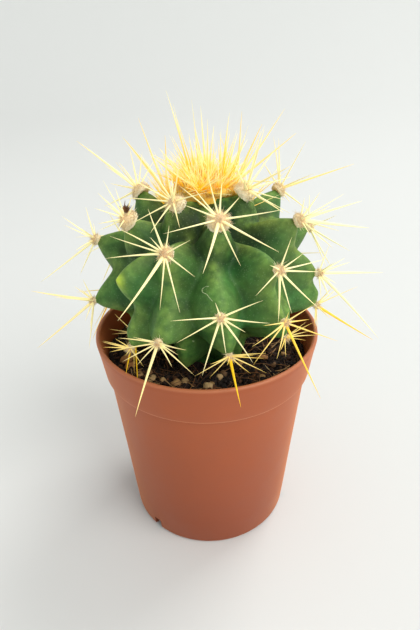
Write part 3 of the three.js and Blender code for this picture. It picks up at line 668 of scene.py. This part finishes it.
def pot_material(settings):
    """Injection-moulded polypropylene: an even satin skin with faint mottling, with painted shade that makes it duller
    and deeper low down, and a painted highlight on the lip and along the band's lower edge.
    """
    made, tree, shader = material(
        "moulded_polypropylene", Roughness=0.46, IOR=1.49, Sheen_Weight=0.8, Sheen_Roughness=0.35,
        Sheen_Tint=linear("#f09a62"))
    place = add(tree, "TexCoord").outputs["Object"]
    parts = add(tree, "SeparateXYZ", links={0: place})
    # Painted shade: the colour deepens towards the foot over the lowest 50 mm
    low = add(tree, "MapRange", values=span(0, 1, 0, 0.05), links={0: parts.outputs["Z"]})
    # Clouding of the pigment, about 6 mm across
    cloud = add(tree, "TexNoise", values={"Scale": 160.0, "Detail": 4.0}, links={"Vector": place})
    tone = add(tree, "Mix", {"data_type": "RGBA"}, {6: settings.painted_foot_shade, 7: settings.colour}, {0: low})
    spread = add(tree, "MapRange", values=span(0.93, 1.07), links={0: cloud})
    shade = add(tree, "HueSaturation", links={"Value": spread, "Color": tone.outputs[2]})
    # Painted highlight: the plastic is drawn paler on the lip, and in a line about 0.6 mm wide along the band's lower
    # edge
    off = add(tree, "Math", {"operation": "SUBTRACT"}, {1: POT_HIGH.z - BAND_EDGE * MM}, {0: parts.outputs["Z"]})
    away = add(tree, "Math", {"operation": "ABSOLUTE"}, links={0: off})
    line = add(tree, "MapRange", values=span(0.45, 0, 0.0001, 0.0004), links={0: away})
    lip = add(tree, "MapRange", values=span(0, 0.4, POT_HIGH.z - 0.0009, POT_HIGH.z - 0.0003),
              links={0: parts.outputs["Z"]})
    painted_edge_highlight = add(tree, "Math", {"operation": "MAXIMUM"}, links={0: line, 1: lip})
    highlighted = add(tree, "Mix", {"data_type": "RGBA"}, {7: linear("#cf8a62")}, {0: painted_edge_highlight, 6: shade})
    # The mould's fine matt texture, about 0.3 mm, drawn a little coarser so that it shows
    grain = add(tree, "TexNoise", values={"Scale": 2600.0, "Detail": 2.0}, links={"Vector": place})
    bump = add(tree, "Bump", values={"Strength": 0.25, "Distance": 0.00006}, links={"Height": grain})
    rough = add(tree, "MapRange", values=span(0.40, 0.54), links={0: cloud})
    feed(tree, shader, {"Base Color": highlighted.outputs[2], "Normal": bump, "Roughness": rough})
    return made


class OBJECT_OT_cactus_pot(bpy.types.Operator):
    """Moulded nursery pot with its band, lip and drain slots"""

    bl_idname = "object.cactus_pot"
    bl_label = "Pot"

    def execute(self, context):
        settings = context.scene.cactus_pot
        bm = turned(pot_outline(settings.wall / MM), 160)
        shape = piece("nursery_pot", finished(bm, "nursery_pot"), pot_material(settings), "pot_plastic", "pot")
        self.cut_drains(shape)
        return {"FINISHED"}

    def cut_drains(self, shape):
        """Cuts the slots through the edge of the foot."""
        cutter = bmesh.new()
        for turn in DRAIN_TURNS:
            made = bmesh.ops.create_cube(cutter, size=1)["verts"]
            bmesh.ops.scale(cutter, vec=Vector(DRAIN_SIZE) * MM, verts=made)
            bmesh.ops.translate(cutter, vec=(0, -DRAIN_REACH * MM, 0), verts=made)
            bmesh.ops.rotate(
                cutter, cent=(0, 0, 0), matrix=Matrix.Rotation(math.radians(turn), 3, "Z"), verts=made)
        upright = [e for e in cutter.edges if e.verts[0].co.z > 0.002 and e.verts[1].co.z > 0.002]
        bmesh.ops.bevel(
            cutter, geom=upright, offset=0.0005, segments=3, profile=0.5, material=-1, affect="EDGES")
        tool = bpy.data.objects.new("drain_cutter", finished(cutter, "drain_cutter"))
        bpy.context.scene.collection.objects.link(tool)
        cut = shape.modifiers.new("drains", "BOOLEAN")
        cut.operation, cut.solver, cut.object = "DIFFERENCE", "EXACT", tool
        deps = bpy.context.evaluated_depsgraph_get()
        mesh = bpy.data.meshes.new_from_object(shape.evaluated_get(deps))
        shape.modifiers.clear()
        shape.data = mesh
        mesh.shade_smooth()
        mesh.set_sharp_from_angle(angle=math.radians(40))
        bpy.data.objects.remove(tool)


# Potting mix


def mix_material(settings):
    """Damp peat: near-black crumbs with brown ones among them, dull and rough, in grains of about 0.4 mm."""
    return loose_material("damp_peat", "tone", [
        (0.0, linear("#110a07")), (0.5, tuple(settings.colour)), (0.8, linear("#553823")), (1.0, linear("#8d6238"))],
        grain=(500, 5), spread=(0.55, 1.5), relief=(0.8, 0.0003), relief_grain=(2400, 6), Roughness=0.9)


def grit_material():
    """Pumice and lime grit: cream to tan grains, matt and slightly pitted."""
    return loose_material("pumice_grit", "tone", [
        (0.0, linear("#5f4226")), (0.35, linear("#876645")), (0.7, linear("#b28a57")), (1.0, linear("#d6b682"))],
        grain=(1800, 5), spread=(0.65, 1.25), relief=(0.6, 0.0002), Roughness=0.8)


def bark_material():
    """Composted bark and wood: torn chips from tan to orange-brown, dull, with fibres about 0.5 mm wide."""
    return loose_material("composted_bark", "tone", [
        (0.0, linear("#3b2415")), (0.4, linear("#6d4323")), (0.75, linear("#a8703c")), (1.0, linear("#c99a62"))],
        grain=(1500, 5), spread=(0.55, 1.3), relief=(0.8, 0.0003), Roughness=0.85)


def foot_radius(azimuth):
    """Radius of the flesh where it meets the mix, in millimetres."""
    polar = np.full_like(azimuth, float(np.interp(FLESH_CENTRE[2] - SOIL_LEVEL, -HEIGHTS, POLAR)))
    points = skin_points(azimuth, polar)
    return np.hypot(points[:, 0], points[:, 1])


def on_the_mix(count, random, inner=1.0, outer=28.6):
    """Random places on the open surface of the mix, between the flesh and the pot."""
    azimuth = random.uniform(0, FULL_TURN, count)
    near = foot_radius(azimuth) - inner
    radius = np.sqrt(random.uniform(near**2, outer**2))
    x, y = radius * np.sin(azimuth), -radius * np.cos(azimuth)
    return np.stack([x, y, soil_height(x, y)], 1)


def sizes_of(law, count, random):
    """Random sizes by a gamma law, between its least and its greatest."""
    shape, scale, least, greatest = law
    return random.gamma(shape, scale, count).clip(least, greatest)


class OBJECT_OT_cactus_mix(bpy.types.Operator):
    """Potting mix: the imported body, loose crumbs, fibres, grit and bark"""

    bl_idname = "object.cactus_mix"
    bl_label = "Potting mix"

    def execute(self, context):
        settings = context.scene.cactus_mix
        random = np.random.default_rng(7)
        peat, grit, bark = mix_material(settings), grit_material(), bark_material()
        self.body(peat)
        self.crumbs(settings.crumbs, random, peat)
        self.chips(settings.chips, random, bark)
        self.grit(settings.grit, random, grit)
        self.strands("fibres", settings.fibres, random, peat, outer=28.6, lengths=(2.5, 11.0), edge=28.4,
                     thick=(0.06, 0.17), bend=0.18, darkest=0.6, taper=0.3)
        self.strands("fallen_spines", settings.fallen, random, grit, outer=26.0, lengths=(5.0, 12.0), edge=28.2,
                     thick=(0.13, 0.22), bend=0.03, darkest=0.5)
        return {"FINISHED"}

    def body(self, peat):
        """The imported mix, closed underneath, with an uneven surface."""
        outline = [(0.0, 1.7), (22.6, 1.7), (24.0, 2.7), (28.25, 52.7), (28.9, 55.2), (29.45, 56.9)]
        outline += [(r, SOIL_LEVEL) for r in np.arange(28.6, 0.5, -0.8)] + [(0.0, SOIL_LEVEL)]
        bm = turned(outline, 144)
        tone = bm.verts.layers.float.new("tone")
        for v in bm.verts:
            if v.co.z > (SOIL_LEVEL - 0.3) * MM:
                rough = noise.fractal(v.co * CLOD_PITCH, 0.7, 2.1, 4) * CLOD_HEIGHT
                v.co.z = (soil_height(v.co.x / MM, v.co.y / MM) + rough - CLOD_SINK) * MM
                v[tone] = min(1, max(0, 0.3 + rough * 0.5))
        piece("packed_mix", finished(bm, "packed_mix"), peat, "potting_mix", "potting_mix")

    def crumbs(self, count, random, peat):
        """Loose crumbs all over the surface."""
        lump = lump_pattern(1)
        places = on_the_mix(count, random)
        sizes = sizes_of(CRUMB_SIZES, count, random)
        places[:, 2] += sizes * random.uniform(-0.2, 0.5, count)
        tone = random.beta(1.3, 2.6, count)
        crowd("peat_crumbs", lump, lumps(lump, places, sizes, random), peat, "potting_mix", "potting_mix", tone=tone)

    def chips(self, count, random, bark):
        """Torn chips of bark, flat on the surface or half sunk."""
        chip = lump_pattern(2)
        known = len(BARK_PLACES)
        places = on_the_mix(count, random, outer=28.0)
        places[:known] = [(x, y, soil_height(x, y) + BARK_STAND) for x, y in BARK_PLACES]
        sizes = sizes_of(CHIP_SIZES, count, random)
        sizes[:known] = BARK_SIZES
        places[:, 2] += sizes * CHIP_RISE
        tone = random.beta(1.0, 2.0, count)
        tone[:known] = BARK_TONE
        shapes = lumps(chip, places, sizes, random, 0.16, flatness=(0.22, 0.5))
        crowd("bark_chips", chip, shapes, bark, "potting_mix", "potting_mix", tone=tone)

    def grit(self, count, random, grit):
        """Pale grains: the larger ones lie in front of the plant."""
        grain = lump_pattern(2)
        known = len(GRIT_PLACES)
        places = on_the_mix(count, random, inner=-1.0, outer=27.8)
        sizes = sizes_of(GRAIN_SIZES, count, random)
        places[:known] = [(x, y, soil_height(x, y)) for x, y in GRIT_PLACES]
        sizes[:known] = GRIT_SIZES
        places[:, 2] += sizes * GRAIN_RISE
        tone = random.beta(1.3, 1.2, count)
        tone[:known] = random.uniform(*GRIT_TONES, known)
        shapes = lumps(grain, places, sizes, random, 0.24)
        crowd("grit", grain, shapes, grit, "potting_mix", "potting_mix", tone=tone)

    def strands(self, name, count, random, surface, outer, lengths, edge, thick, bend, darkest, taper=0.75):
        """Threads that lie across the surface inside the edge. Fibres rise a little at their ends, and
        the fallen spines lie on the crumbs."""
        thread = needle_pattern(4, 8)
        fibres = name == "fibres"
        roots = on_the_mix(count, random, outer=outer)
        heading = random.uniform(0, FULL_TURN, count)
        length = random.uniform(*lengths, count)
        rise = random.uniform(-0.05, 0.35, count) if fibres else 0 * heading
        tips = roots + np.stack([np.cos(heading), np.sin(heading), rise], 1) * length[:, None]
        reach = np.hypot(tips[:, 0], tips[:, 1])
        tips[:, :2] *= (np.minimum(reach, edge) / reach)[:, None]
        ground = soil_height(tips[:, 0], tips[:, 1])
        at_root, at_tip = FIBRE_RISE if fibres else STRAW_RISE
        tips[:, 2] = np.maximum(tips[:, 2], ground + at_tip) if fibres else ground + at_tip
        roots[:, 2] += at_root
        crowd(name, thread, needles(thread, roots, tips, random, thick, bend, taper=taper), surface,
              "potting_mix", "potting_mix", tone=random.uniform(darkest, 1.0, count))


# Flesh


def flesh_material(settings):
    """Succulent skin: a waxy green cuticle, with a yellower painted highlight on the crests and a dark blue-green
    painted shade in the valleys and round the crown.
    """
    made, tree, shader = material(
        "succulent_skin", Roughness=0.58, IOR=1.34, Subsurface_Weight=0.12, Subsurface_Scale=0.0015)
    shader.inputs["Subsurface Radius"].default_value = (0.6, 1.0, 0.35)
    place = add(tree, "TexCoord").outputs["Object"]
    depth, crest, bare = (
        add(tree, "Attribute", {"attribute_name": name}).outputs["Fac"] for name in ("depth", "crest", "bare"))
    # Uneven growth of the skin in patches of about 4 mm, blotches of 2 mm, drifts of 12 mm and fine pores
    patch, blotch, drift, fine = (
        add(tree, "TexNoise", values={"Scale": scale, "Detail": detail}, links={"Vector": place})
        for scale, detail in ((240, 5), (520, 4), (85, 3), (1400, 3)))
    # Painted shade: the depth mark, swayed by the patches, darkens the skin from the flank colour towards the valley
    # colour in the valleys and round the crown
    sway = add(tree, "Math", {"operation": "MULTIPLY_ADD"}, {1: 1.1, 2: -0.55}, {0: patch})
    level = add(tree, "Math", {"operation": "ADD"}, links={0: depth, 1: sway})
    ground = add(tree, "ValToRGB", links={0: level}, stops=[
        (0.0, tuple(settings.flank)), (0.3, tuple(settings.flank)), (1.0, tuple(settings.valley))])
    # Painted highlight bands down the crests, broken into blotches
    broken = add(tree, "MapRange", values=span(0.35, 1, 0.3, 0.7), links={0: blotch})
    light = add(tree, "Math", {"operation": "MULTIPLY"}, links={0: crest, 1: broken})
    banded = add(tree, "Mix", {"data_type": "RGBA"}, {7: tuple(settings.crest)}, {0: light, 6: ground})
    tipped = add(tree, "Mix", {"data_type": "RGBA"}, {7: tuple(settings.bare)}, {0: bare, 6: banded.outputs[2]})
    # Pale freckles of the stomata, drawn coarser than the real ones so that they show
    freckle = add(tree, "TexVoronoi", values={"Scale": 1500.0}, links={"Vector": place})
    dots = add(tree, "MapRange", values=span(0.15, 0, 0.12, 0.3), links={0: freckle.outputs["Distance"]})
    skin = add(tree, "Mix", {"data_type": "RGBA"}, {7: linear("#a9c48e")}, {0: dots, 6: tipped.outputs[2]})
    # The drifts are bluer and yellower green
    turn = add(tree, "MapRange", values=span(0.475, 0.535, 0.3, 0.7), links={0: drift})
    value = add(tree, "MapRange", values=span(0.82, 1.16, 0.3, 0.7), links={0: blotch})
    drifted = add(tree, "HueSaturation", links={"Hue": turn, "Value": value, "Color": skin.outputs[2]})
    bump = add(tree, "Bump", values={"Strength": 0.3, "Distance": 0.00012}, links={"Height": fine})
    rough = add(tree, "MapRange", values=span(0.48, 0.64), links={0: patch})
    feed(tree, shader, {"Base Color": drifted, "Normal": bump, "Roughness": rough})
    return made


def cork_material():
    """Healed skin: thin dry cork over green tissue, so it is pale, dull and slightly green."""
    made, tree, shader = material("healed_skin", Roughness=0.75)
    place = add(tree, "TexCoord").outputs["Object"]
    fleck = add(tree, "TexNoise", values={"Scale": 2500.0}, links={"Vector": place})
    ramp = add(tree, "ValToRGB", links={0: fleck}, stops=[(0.35, linear("#86a56c")), (0.65, linear("#c0cfa0"))])
    feed(tree, shader, {"Base Color": ramp})
    return made


def grown_points(azimuth, polar):
    """Places on the skin with its slight swellings and wrinkles, in millimetres."""
    ways = around(azimuth, np.sin(polar), np.cos(polar))
    wrinkle = np.array([noise.fractal(Vector(p) * WRINKLES[0], 0.8, 2.0, 3) for p in ways]) * WRINKLES[1]
    swell = np.array([noise.noise(Vector(p) * SWELLINGS[0]) for p in ways]) * SWELLINGS[1]
    reach = envelope_reach(polar) - skin_depth(azimuth, polar) - (wrinkle + swell) * (polar > 0.1)
    return flesh_points(azimuth, polar, reach)


class OBJECT_OT_cactus_flesh(bpy.types.Operator):
    """The green body with its tubercles, and the taproot under it"""

    bl_idname = "object.cactus_flesh"
    bl_label = "Flesh"

    def execute(self, context):
        settings = context.scene.cactus_flesh
        bm = bmesh.new()
        bmesh.ops.create_uvsphere(bm, u_segments=settings.columns, v_segments=settings.rows, radius=1)
        unit = np.array([v.co[:] for v in bm.verts])
        polar = np.arccos(np.clip(unit[:, 2], -1, 1))
        azimuth = np.arctan2(unit[:, 0], -unit[:, 1])
        places = grown_points(azimuth, polar)
        fall, across = skin_fall(azimuth, polar)
        arcs = np.interp(polar, POLAR, ARCS)
        bald, *_ = areole_facing(AREOLES[BARE_AREOLE])
        marks = {
            # depth: painted shade in the valleys and round the crown
            "depth": np.maximum(
                np.clip(fall / VALLEY_FALL, 0, 1) * (1 - VALLEY_LIGHTENING * smooth_step(arcs, *VALLEY_ZONE)),
                CROWN_SHADE * (1 - smooth_step(arcs, *SHADE_ZONE))),
            # crest: painted highlight bands on the crests
            "crest": np.exp(-((across / BAND_WIDTH) ** 2)) * BAND_STRENGTH,
            "bare": np.exp(-(np.linalg.norm((places - bald) * BARE_FORM, axis=1) / BARE_RADIUS) ** 2),
        }
        for v, p in zip(bm.verts, places * MM):
            v.co = p
        for name, values in marks.items():
            layer = bm.verts.layers.float.new(name)
            for v, value in zip(bm.verts, values):
                v[layer] = value
        tip, top = ROOT_RADII
        root = bmesh.ops.create_cone(
            bm, cap_ends=True, segments=24, radius1=tip * MM, radius2=top * MM, depth=ROOT_LENGTH * MM)["verts"]
        bmesh.ops.translate(bm, vec=Vector((*FLESH_CENTRE[:2], ROOT_MIDDLE)) * MM, verts=root)
        piece("cactus_skin", finished(bm, "cactus_skin"), flesh_material(settings), "flesh", "cactus_body")
        self.marks()
        return {"FINISHED"}

    def marks(self):
        """The curled scar of cork and the single grain that stick to the skin in front."""
        bead = lump_pattern(1)
        steps = np.linspace(0, len(SCAR) - 1, SCAR_BEADS)
        across, up = (np.interp(steps, range(len(SCAR)), course) for course in zip(*SCAR))
        azimuth, polar = np.radians(SCAR_PLACE)
        cork = grown_points(azimuth + across / SKIN_RADIUS, polar - up / SKIN_RADIUS)
        grain = grown_points(*np.radians(GRAIN_PLACE)[:, None])
        random = np.random.default_rng(5)
        sizes = np.append(random.uniform(0.1, 0.17, SCAR_BEADS), 0.45)
        shapes = lumps(bead, np.concatenate([cork, grain]), sizes, random)
        crowd("skin_marks", bead, shapes, cork_material(), "flesh", "cactus_body")


# Spines and wool


def spine_material(settings):
    """Horn of the spines: straw-yellow fibre with a soft gloss and growth rings about 0.5 mm apart, golden
    towards some points. The daylight that passes through the thin horn is drawn as a faint glow of its own."""
    return loose_material("spine_horn", "gold", [
        (0.0, tuple(settings.pale)), (0.75, tuple(settings.gold)), (1.0, linear("#f8a90e"))],
        grain=(1300, 2), spread=(0.9, 1.06), relief=(0.2, 0.00005), Roughness=0.38, IOR=1.5,
        Emission_Strength=0.26)


def wool_material(name, deep, middle, pale, tips):
    """Felted plant hair, deeper in colour where it is pressed, with the soft edge and the faint glow of
    short fibres that daylight passes through."""
    return loose_material(name, "tone", [
        (0.0, linear(deep)), (0.35, linear(middle)), (0.75, linear(pale)), (1.0, linear(tips))],
        grain=(2000, 4), spread=(0.8, 1.15), relief=(0.9, 0.0003), Roughness=0.95, Sheen_Weight=0.4,
        Sheen_Roughness=0.4, Emission_Strength=0.05)


class OBJECT_OT_cactus_spines(bpy.types.Operator):
    """The spines of every areole, on the axes of the solids' needles"""

    bl_idname = "object.cactus_spines"
    bl_label = "Spines"

    def execute(self, context):
        settings = context.scene.cactus_spines
        random = np.random.default_rng(23)
        horn = spine_material(settings)
        self.sprays(settings, random, horn)
        self.crown(settings, random, horn)
        return {"FINISHED"}

    def sprays(self, settings, random, horn):
        """The spines of the areoles, each golden towards its point by its own share and paler at its root."""
        spines = []
        for name, place in SPRAYS:
            seat, _, _, out = areole_facing(place)
            centre = seat + out * NEEDLE_ROOT_HEIGHT
            low = come_in(place, GOLD_ZONE)
            yellow = GOLDEN_SPRAYS.get(place["number"], 0)
            for tip, _ in spines_of_node(name, centre, pad_radius(place) + 1.5):
                if np.linalg.norm(tip - centre) > STOUT_LENGTH:
                    thick, golden = settings.stout, max(yellow, low * 0.9)
                else:
                    thick, golden = settings.thickness * (1 - 0.22 * low), max(yellow * 0.7, low * 0.55)
                thick *= random.uniform(0.9, 1.1)
                spines.append((centre, tip, thick, min(1, golden + random.uniform(0, 0.2))))
            if place["number"] == LONG_SPINE_AREOLE:
                spines.append((centre, LONG_SPINE_TIP, settings.stout, 1.0))
        roots, tips, thick, share = (np.array(column) for column in zip(*spines))
        share = share[:, None]
        self.make("areole_spines", roots, tips, thick, random, horn, "spines", SPRAY_NAMES,
                  lambda along: 0.76 * share * (share + (1 - share) * along**1.5))

    def crown(self, settings, random, horn):
        """Young spines of the crown, each solid needle with finer ones beside it, golden at the root."""
        base = CROWN_CENTRE[2] + CROWN_ROOTS_RISE
        spines = []
        for tip, way in spines_of_node("crown", CROWN_CENTRE - [0, 0, 4], CROWN_RADIUS + 2):
            if way[2] < 0.3:
                continue
            root = tip - way * (tip[2] - base) / way[2]
            spines.append((root, tip, 1.25))
            for _ in range(FINER_BESIDE):
                turn = random.normal(size=3) * 0.24
                start = root + random.normal(size=3) * [1.2, 1.2, 0.1]
                reach = np.linalg.norm(tip - root) * random.uniform(0.3, 0.85)
                spines.append((start, start + (way + turn) * reach, random.uniform(0.7, 0.95)))
        for azimuth, arc in YOUNG_BUNCHES:
            azimuth = math.radians(azimuth)
            root = skin_points(azimuth, np.interp(arc, ARCS, POLAR))[0]
            way = around(azimuth, 1, 1.5) / 1.8
            for _ in range(SPINES_PER_BUNCH):
                start = root + random.normal(size=3) * [0.9, 0.9, 0.2]
                lean = way + random.normal(size=3) * 0.27
                tip = start + lean * random.uniform(5.5, 17)
                spines.append((start, tip, random.uniform(0.7, 1.1)))
        roots, tips, thick = (np.array(column) for column in zip(*spines))
        share = random.uniform(0.7, 1.15, (len(roots), 1))
        self.make("crown_spines", roots, tips, settings.thickness * thick, random, horn, "young_spines", ["crown"],
                  lambda along: share * (1 - along) ** 1.1)

    def make(self, name, roots, tips, thick, random, horn, slot, nodes, golden):
        """One mesh of the spines, flattened a little, with radii in metres. golden says how golden each is
        along its length."""
        pattern = needle_pattern(8, 9)
        shapes = needles(pattern, roots, tips, random, thick / MM, 0.018, turn=FULL_TURN, flat=0.78)
        crowd(name, pattern, shapes, horn, slot, *nodes, gold=golden(pattern[0][:, 2]))


def wrapped(local):
    """Places on a flat pad, drawn back with their distance from its middle so that it wraps the tip."""
    back = PAD_DROOP * (local[:, 0] ** 2 + local[:, 1] ** 2)
    return local - back[:, None] * [0, 0, 1]


class OBJECT_OT_cactus_wool(bpy.types.Operator):
    """The felt of the areoles and of the crown"""

    bl_idname = "object.cactus_wool"
    bl_label = "Wool"

    def execute(self, context):
        random = np.random.default_rng(41)
        # Tan to cream on the areoles, golden over the growing point
        felt = wool_material("areole_felt", "#cf9163", "#e9bd8a", "#fbe2b0", "#fff6d6")
        young = wool_material("crown_felt", "#e0961e", "#fbbf35", "#ffdd70", "#fff0b4")
        dome = lump_pattern(4)
        hair = needle_pattern(3, 2)
        corners = dome[0]
        edge = np.hypot(corners[:, 0], corners[:, 1]) ** 2 * 0.5 + 0.35
        pads, tones, roots, tips = [], [], [], []
        for _, place in SPRAYS:
            seat, *axes = areole_facing(place)
            radius = pad_radius(place) * (
                PAD_FULLNESS - WRAP_LOSS * come_in(place, WRAP_ZONE) - OLD_PAD_LOSS * come_in(place, OLD_PAD_ZONE))
            size = np.array([radius, radius, PAD_HEIGHT])
            uneven = 1 + 0.07 * random.uniform(-1, 1, len(corners))
            pads.append(seat + wrapped(corners * size * uneven[:, None]) @ axes)
            tones.append(np.clip(edge + 0.22 * (1 - come_in(place, FELT_ZONE)), 0, 1))
            count = int(HAIRS_PER_RADIUS * radius)
            ways = random.normal(size=(count, 3))
            ways[:, 2] = np.abs(ways[:, 2]) * 0.9 + 0.05
            ways /= np.linalg.norm(ways, axis=1, keepdims=True)
            start = wrapped(ways * size * 0.96)
            end = start + (ways + random.normal(size=(count, 3)) * 0.6) * random.uniform(0.25, 0.8, (count, 1))
            roots.append(seat + start @ axes)
            tips.append(seat + end @ axes)
        crowd("areole_felt", dome, pads, felt, "spines", *SPRAY_NAMES, tone=np.array(tones))
        self.bud(random)
        self.fuzz("areole_fuzz", hair, np.concatenate(roots), np.concatenate(tips), random, felt, "spines", SPRAY_NAMES)
        self.crown(dome, hair, random, young)
        return {"FINISHED"}

    def bud(self, random):
        """The withered bud on one young areole."""
        seat, _, up, out = areole_facing(AREOLES[BUD_AREOLE])
        scale = needle_pattern(5, 4)
        root = seat + out * 0.9 + up * 1.3
        tips = root + up * 1.6 + out * 0.9 + random.normal(size=(BUD_SCALES, 3)) * 0.6
        roots = root + random.normal(size=(BUD_SCALES, 3)) * 0.25
        scales = needles(scale, roots, tips, random, (0.16, 0.3), 0.1, taper=0.5)
        crowd("withered_bud", scale, scales, bark_material(), "spines", "areole_14",
              tone=random.uniform(0.2, 0.6, BUD_SCALES))

    def fuzz(self, name, hair, roots, tips, random, felt, slot, nodes):
        """Short woolly hairs that stand out of the felt."""
        crowd(name, hair, needles(hair, roots, tips, random, (0.04, 0.075), 0.2), felt, slot, *nodes,
              tone=random.uniform(0.55, 1.0, len(roots)))

    def crown(self, dome, hair, random, felt):
        """The cushion of wool over the growing point, and the wool that fills the hollow under it."""
        corners = dome[0]
        azimuth = np.radians(FIRST_AZIMUTH - TURN_PER_AREOLE * np.arange(CROWN_TUFTS))
        share = np.sqrt((np.arange(CROWN_TUFTS) + 0.5) / CROWN_TUFTS)
        over = around(azimuth, share * (CROWN_RADIUS - 1.2), CROWN_HEIGHT * (0.75 - 0.7 * share**2))
        uneven = 1 + 0.08 * random.uniform(-1, 1, (CROWN_TUFTS, len(corners), 1))
        azimuth = np.linspace(0, FULL_TURN, UNDER_TUFTS, endpoint=False)
        under = around(azimuth, CROWN_RADIUS - UNDER_TUFTS_IN, UNDER_TUFTS_LOW)
        tufts = CROWN_CENTRE + np.concatenate([
            over[:, None] + corners * TUFT_SIZE * uneven, under[:, None] + corners * UNDER_TUFT_SIZE])
        tone = random.uniform(0.3, 0.6, len(tufts))
        crowd("crown_felt", dome, tufts, felt, "young_spines", "crown", tone=tone)
        azimuth = random.uniform(0, FULL_TURN, CROWN_HAIRS)
        share = np.sqrt(random.uniform(0, 1, CROWN_HAIRS))
        start = CROWN_CENTRE + around(azimuth, share * (CROWN_RADIUS + 0.3), CROWN_HEIGHT * (1.1 - share**2))
        end = start + random.normal(size=(CROWN_HAIRS, 3)) * [0.6, 0.6, 0.5] + [0, 0, 0.5]
        self.fuzz("crown_fuzz", hair, start, end, random, felt, "young_spines", ["crown"])


# Stage


class OBJECT_OT_cactus_stage(bpy.types.Operator):
    """Pale seamless sweep, soft daylight and the picture's camera"""

    bl_idname = "object.cactus_stage"
    bl_label = "Stage"

    def execute(self, context):
        settings = context.scene.cactus_stage
        self.sweep(settings)
        self.lights(settings)
        self.camera()
        context.scene.view_settings.view_transform = "Standard"
        return {"FINISHED"}

    def sweep(self, settings):
        """A round floor that curves up all round, so that no horizon shows."""
        outline = [(0, 0), (300, 0), (700, 0)] + [
            (FLOOR_RADIUS + CURVE_RADIUS * math.sin(a), CURVE_RADIUS * (1 - math.cos(a)))
            for a in np.radians(np.linspace(0, 80, 12))]
        made, _, _ = material("studio_paper", Base_Color=tuple(settings.floor), Roughness=0.9)
        floor = bpy.data.objects.new("sweep", finished(turned(outline, 64), "sweep"))
        floor.data.materials.append(made)
        bpy.context.scene.collection.objects.link(floor)

    def lights(self, settings):
        """Even light all round, a window at the upper right behind and a softer one at the right in front."""
        world = bpy.data.worlds.new("daylight")
        bpy.context.scene.world = world
        world.use_nodes = True
        sky = world.node_tree.nodes["Background"]
        sky.inputs["Color"].default_value = linear("#fafaf8")
        sky.inputs["Strength"].default_value = settings.sky
        for name, power, (size, place) in (
                ("window", settings.window, WINDOW), ("front", settings.front, FRONT_LAMP)):
            lamp = bpy.data.lights.new(name, "AREA")
            lamp.shape, lamp.size, lamp.energy, lamp.color = "SQUARE", size, power, LAMP_COLOUR
            light = bpy.data.objects.new(name, lamp)
            light.location = place
            light.rotation_euler = (LAMPS_FACE - light.location).to_track_quat("-Z", "Y").to_euler()
            bpy.context.scene.collection.objects.link(light)

    def camera(self):
        """The picture's camera, from the fitted place, pitch and roll."""
        lens = bpy.data.cameras.new("picture")
        lens.lens, lens.sensor_width, lens.clip_start = CAMERA_LENS, 36.0, 0.01
        viewer = bpy.data.objects.new("picture", lens)
        turn = Matrix.Rotation(math.radians(90 - CAMERA_PITCH), 4, "X") @ Matrix.Rotation(
            math.radians(CAMERA_ROLL), 4, "Z")
        viewer.matrix_world = Matrix.Translation(CAMERA_PLACE) @ turn
        bpy.context.scene.collection.objects.link(viewer)
        bpy.context.scene.camera = viewer


class VIEW3D_PT_cactus(bpy.types.Panel):
    """Sizes, colours and steps of the potted cactus"""

    bl_label = "Potted cactus"
    bl_space_type = "VIEW_3D"
    bl_region_type = "UI"
    bl_category = "Cactus"

    def draw(self, context):
        for group, step in STEPS_OF_WORK:
            box = self.layout.box()
            box.operator(step)
            settings = getattr(context.scene, group)
            for name in settings.__annotations__:
                box.prop(settings, name)


STEPS_OF_WORK = (
    ("cactus_pot", "object.cactus_pot"),
    ("cactus_mix", "object.cactus_mix"),
    ("cactus_flesh", "object.cactus_flesh"),
    ("cactus_spines", "object.cactus_spines"),
    ("cactus_spines", "object.cactus_wool"),
    ("cactus_stage", "object.cactus_stage"),
)
SETTINGS = {
    "cactus_pot": PotSettings,
    "cactus_mix": MixSettings,
    "cactus_flesh": FleshSettings,
    "cactus_spines": SpineSettings,
    "cactus_stage": StageSettings,
}
CLASSES = (
    *SETTINGS.values(),
    OBJECT_OT_cactus_pot,
    OBJECT_OT_cactus_mix,
    OBJECT_OT_cactus_flesh,
    OBJECT_OT_cactus_spines,
    OBJECT_OT_cactus_wool,
    OBJECT_OT_cactus_stage,
    VIEW3D_PT_cactus,
)


def register():
    for cls in CLASSES:
        bpy.utils.register_class(cls)
    for name, cls in SETTINGS.items():
        setattr(bpy.types.Scene, name, bpy.props.PointerProperty(type=cls))


def unregister():
    for name in SETTINGS:
        delattr(bpy.types.Scene, name)
    for cls in reversed(CLASSES):
        bpy.utils.unregister_class(cls)


def corners(box):
    """A box's corners as plain lists."""
    return [[float(v) for v in corner] for corner in box]


def main():
    register()
    bpy.ops.object.cactus_pot()
    bpy.ops.object.cactus_mix()
    bpy.ops.object.cactus_flesh()
    bpy.ops.object.cactus_spines()
    bpy.ops.object.cactus_wool()
    bpy.ops.object.cactus_stage()


if __name__ == "__main__":
    main()
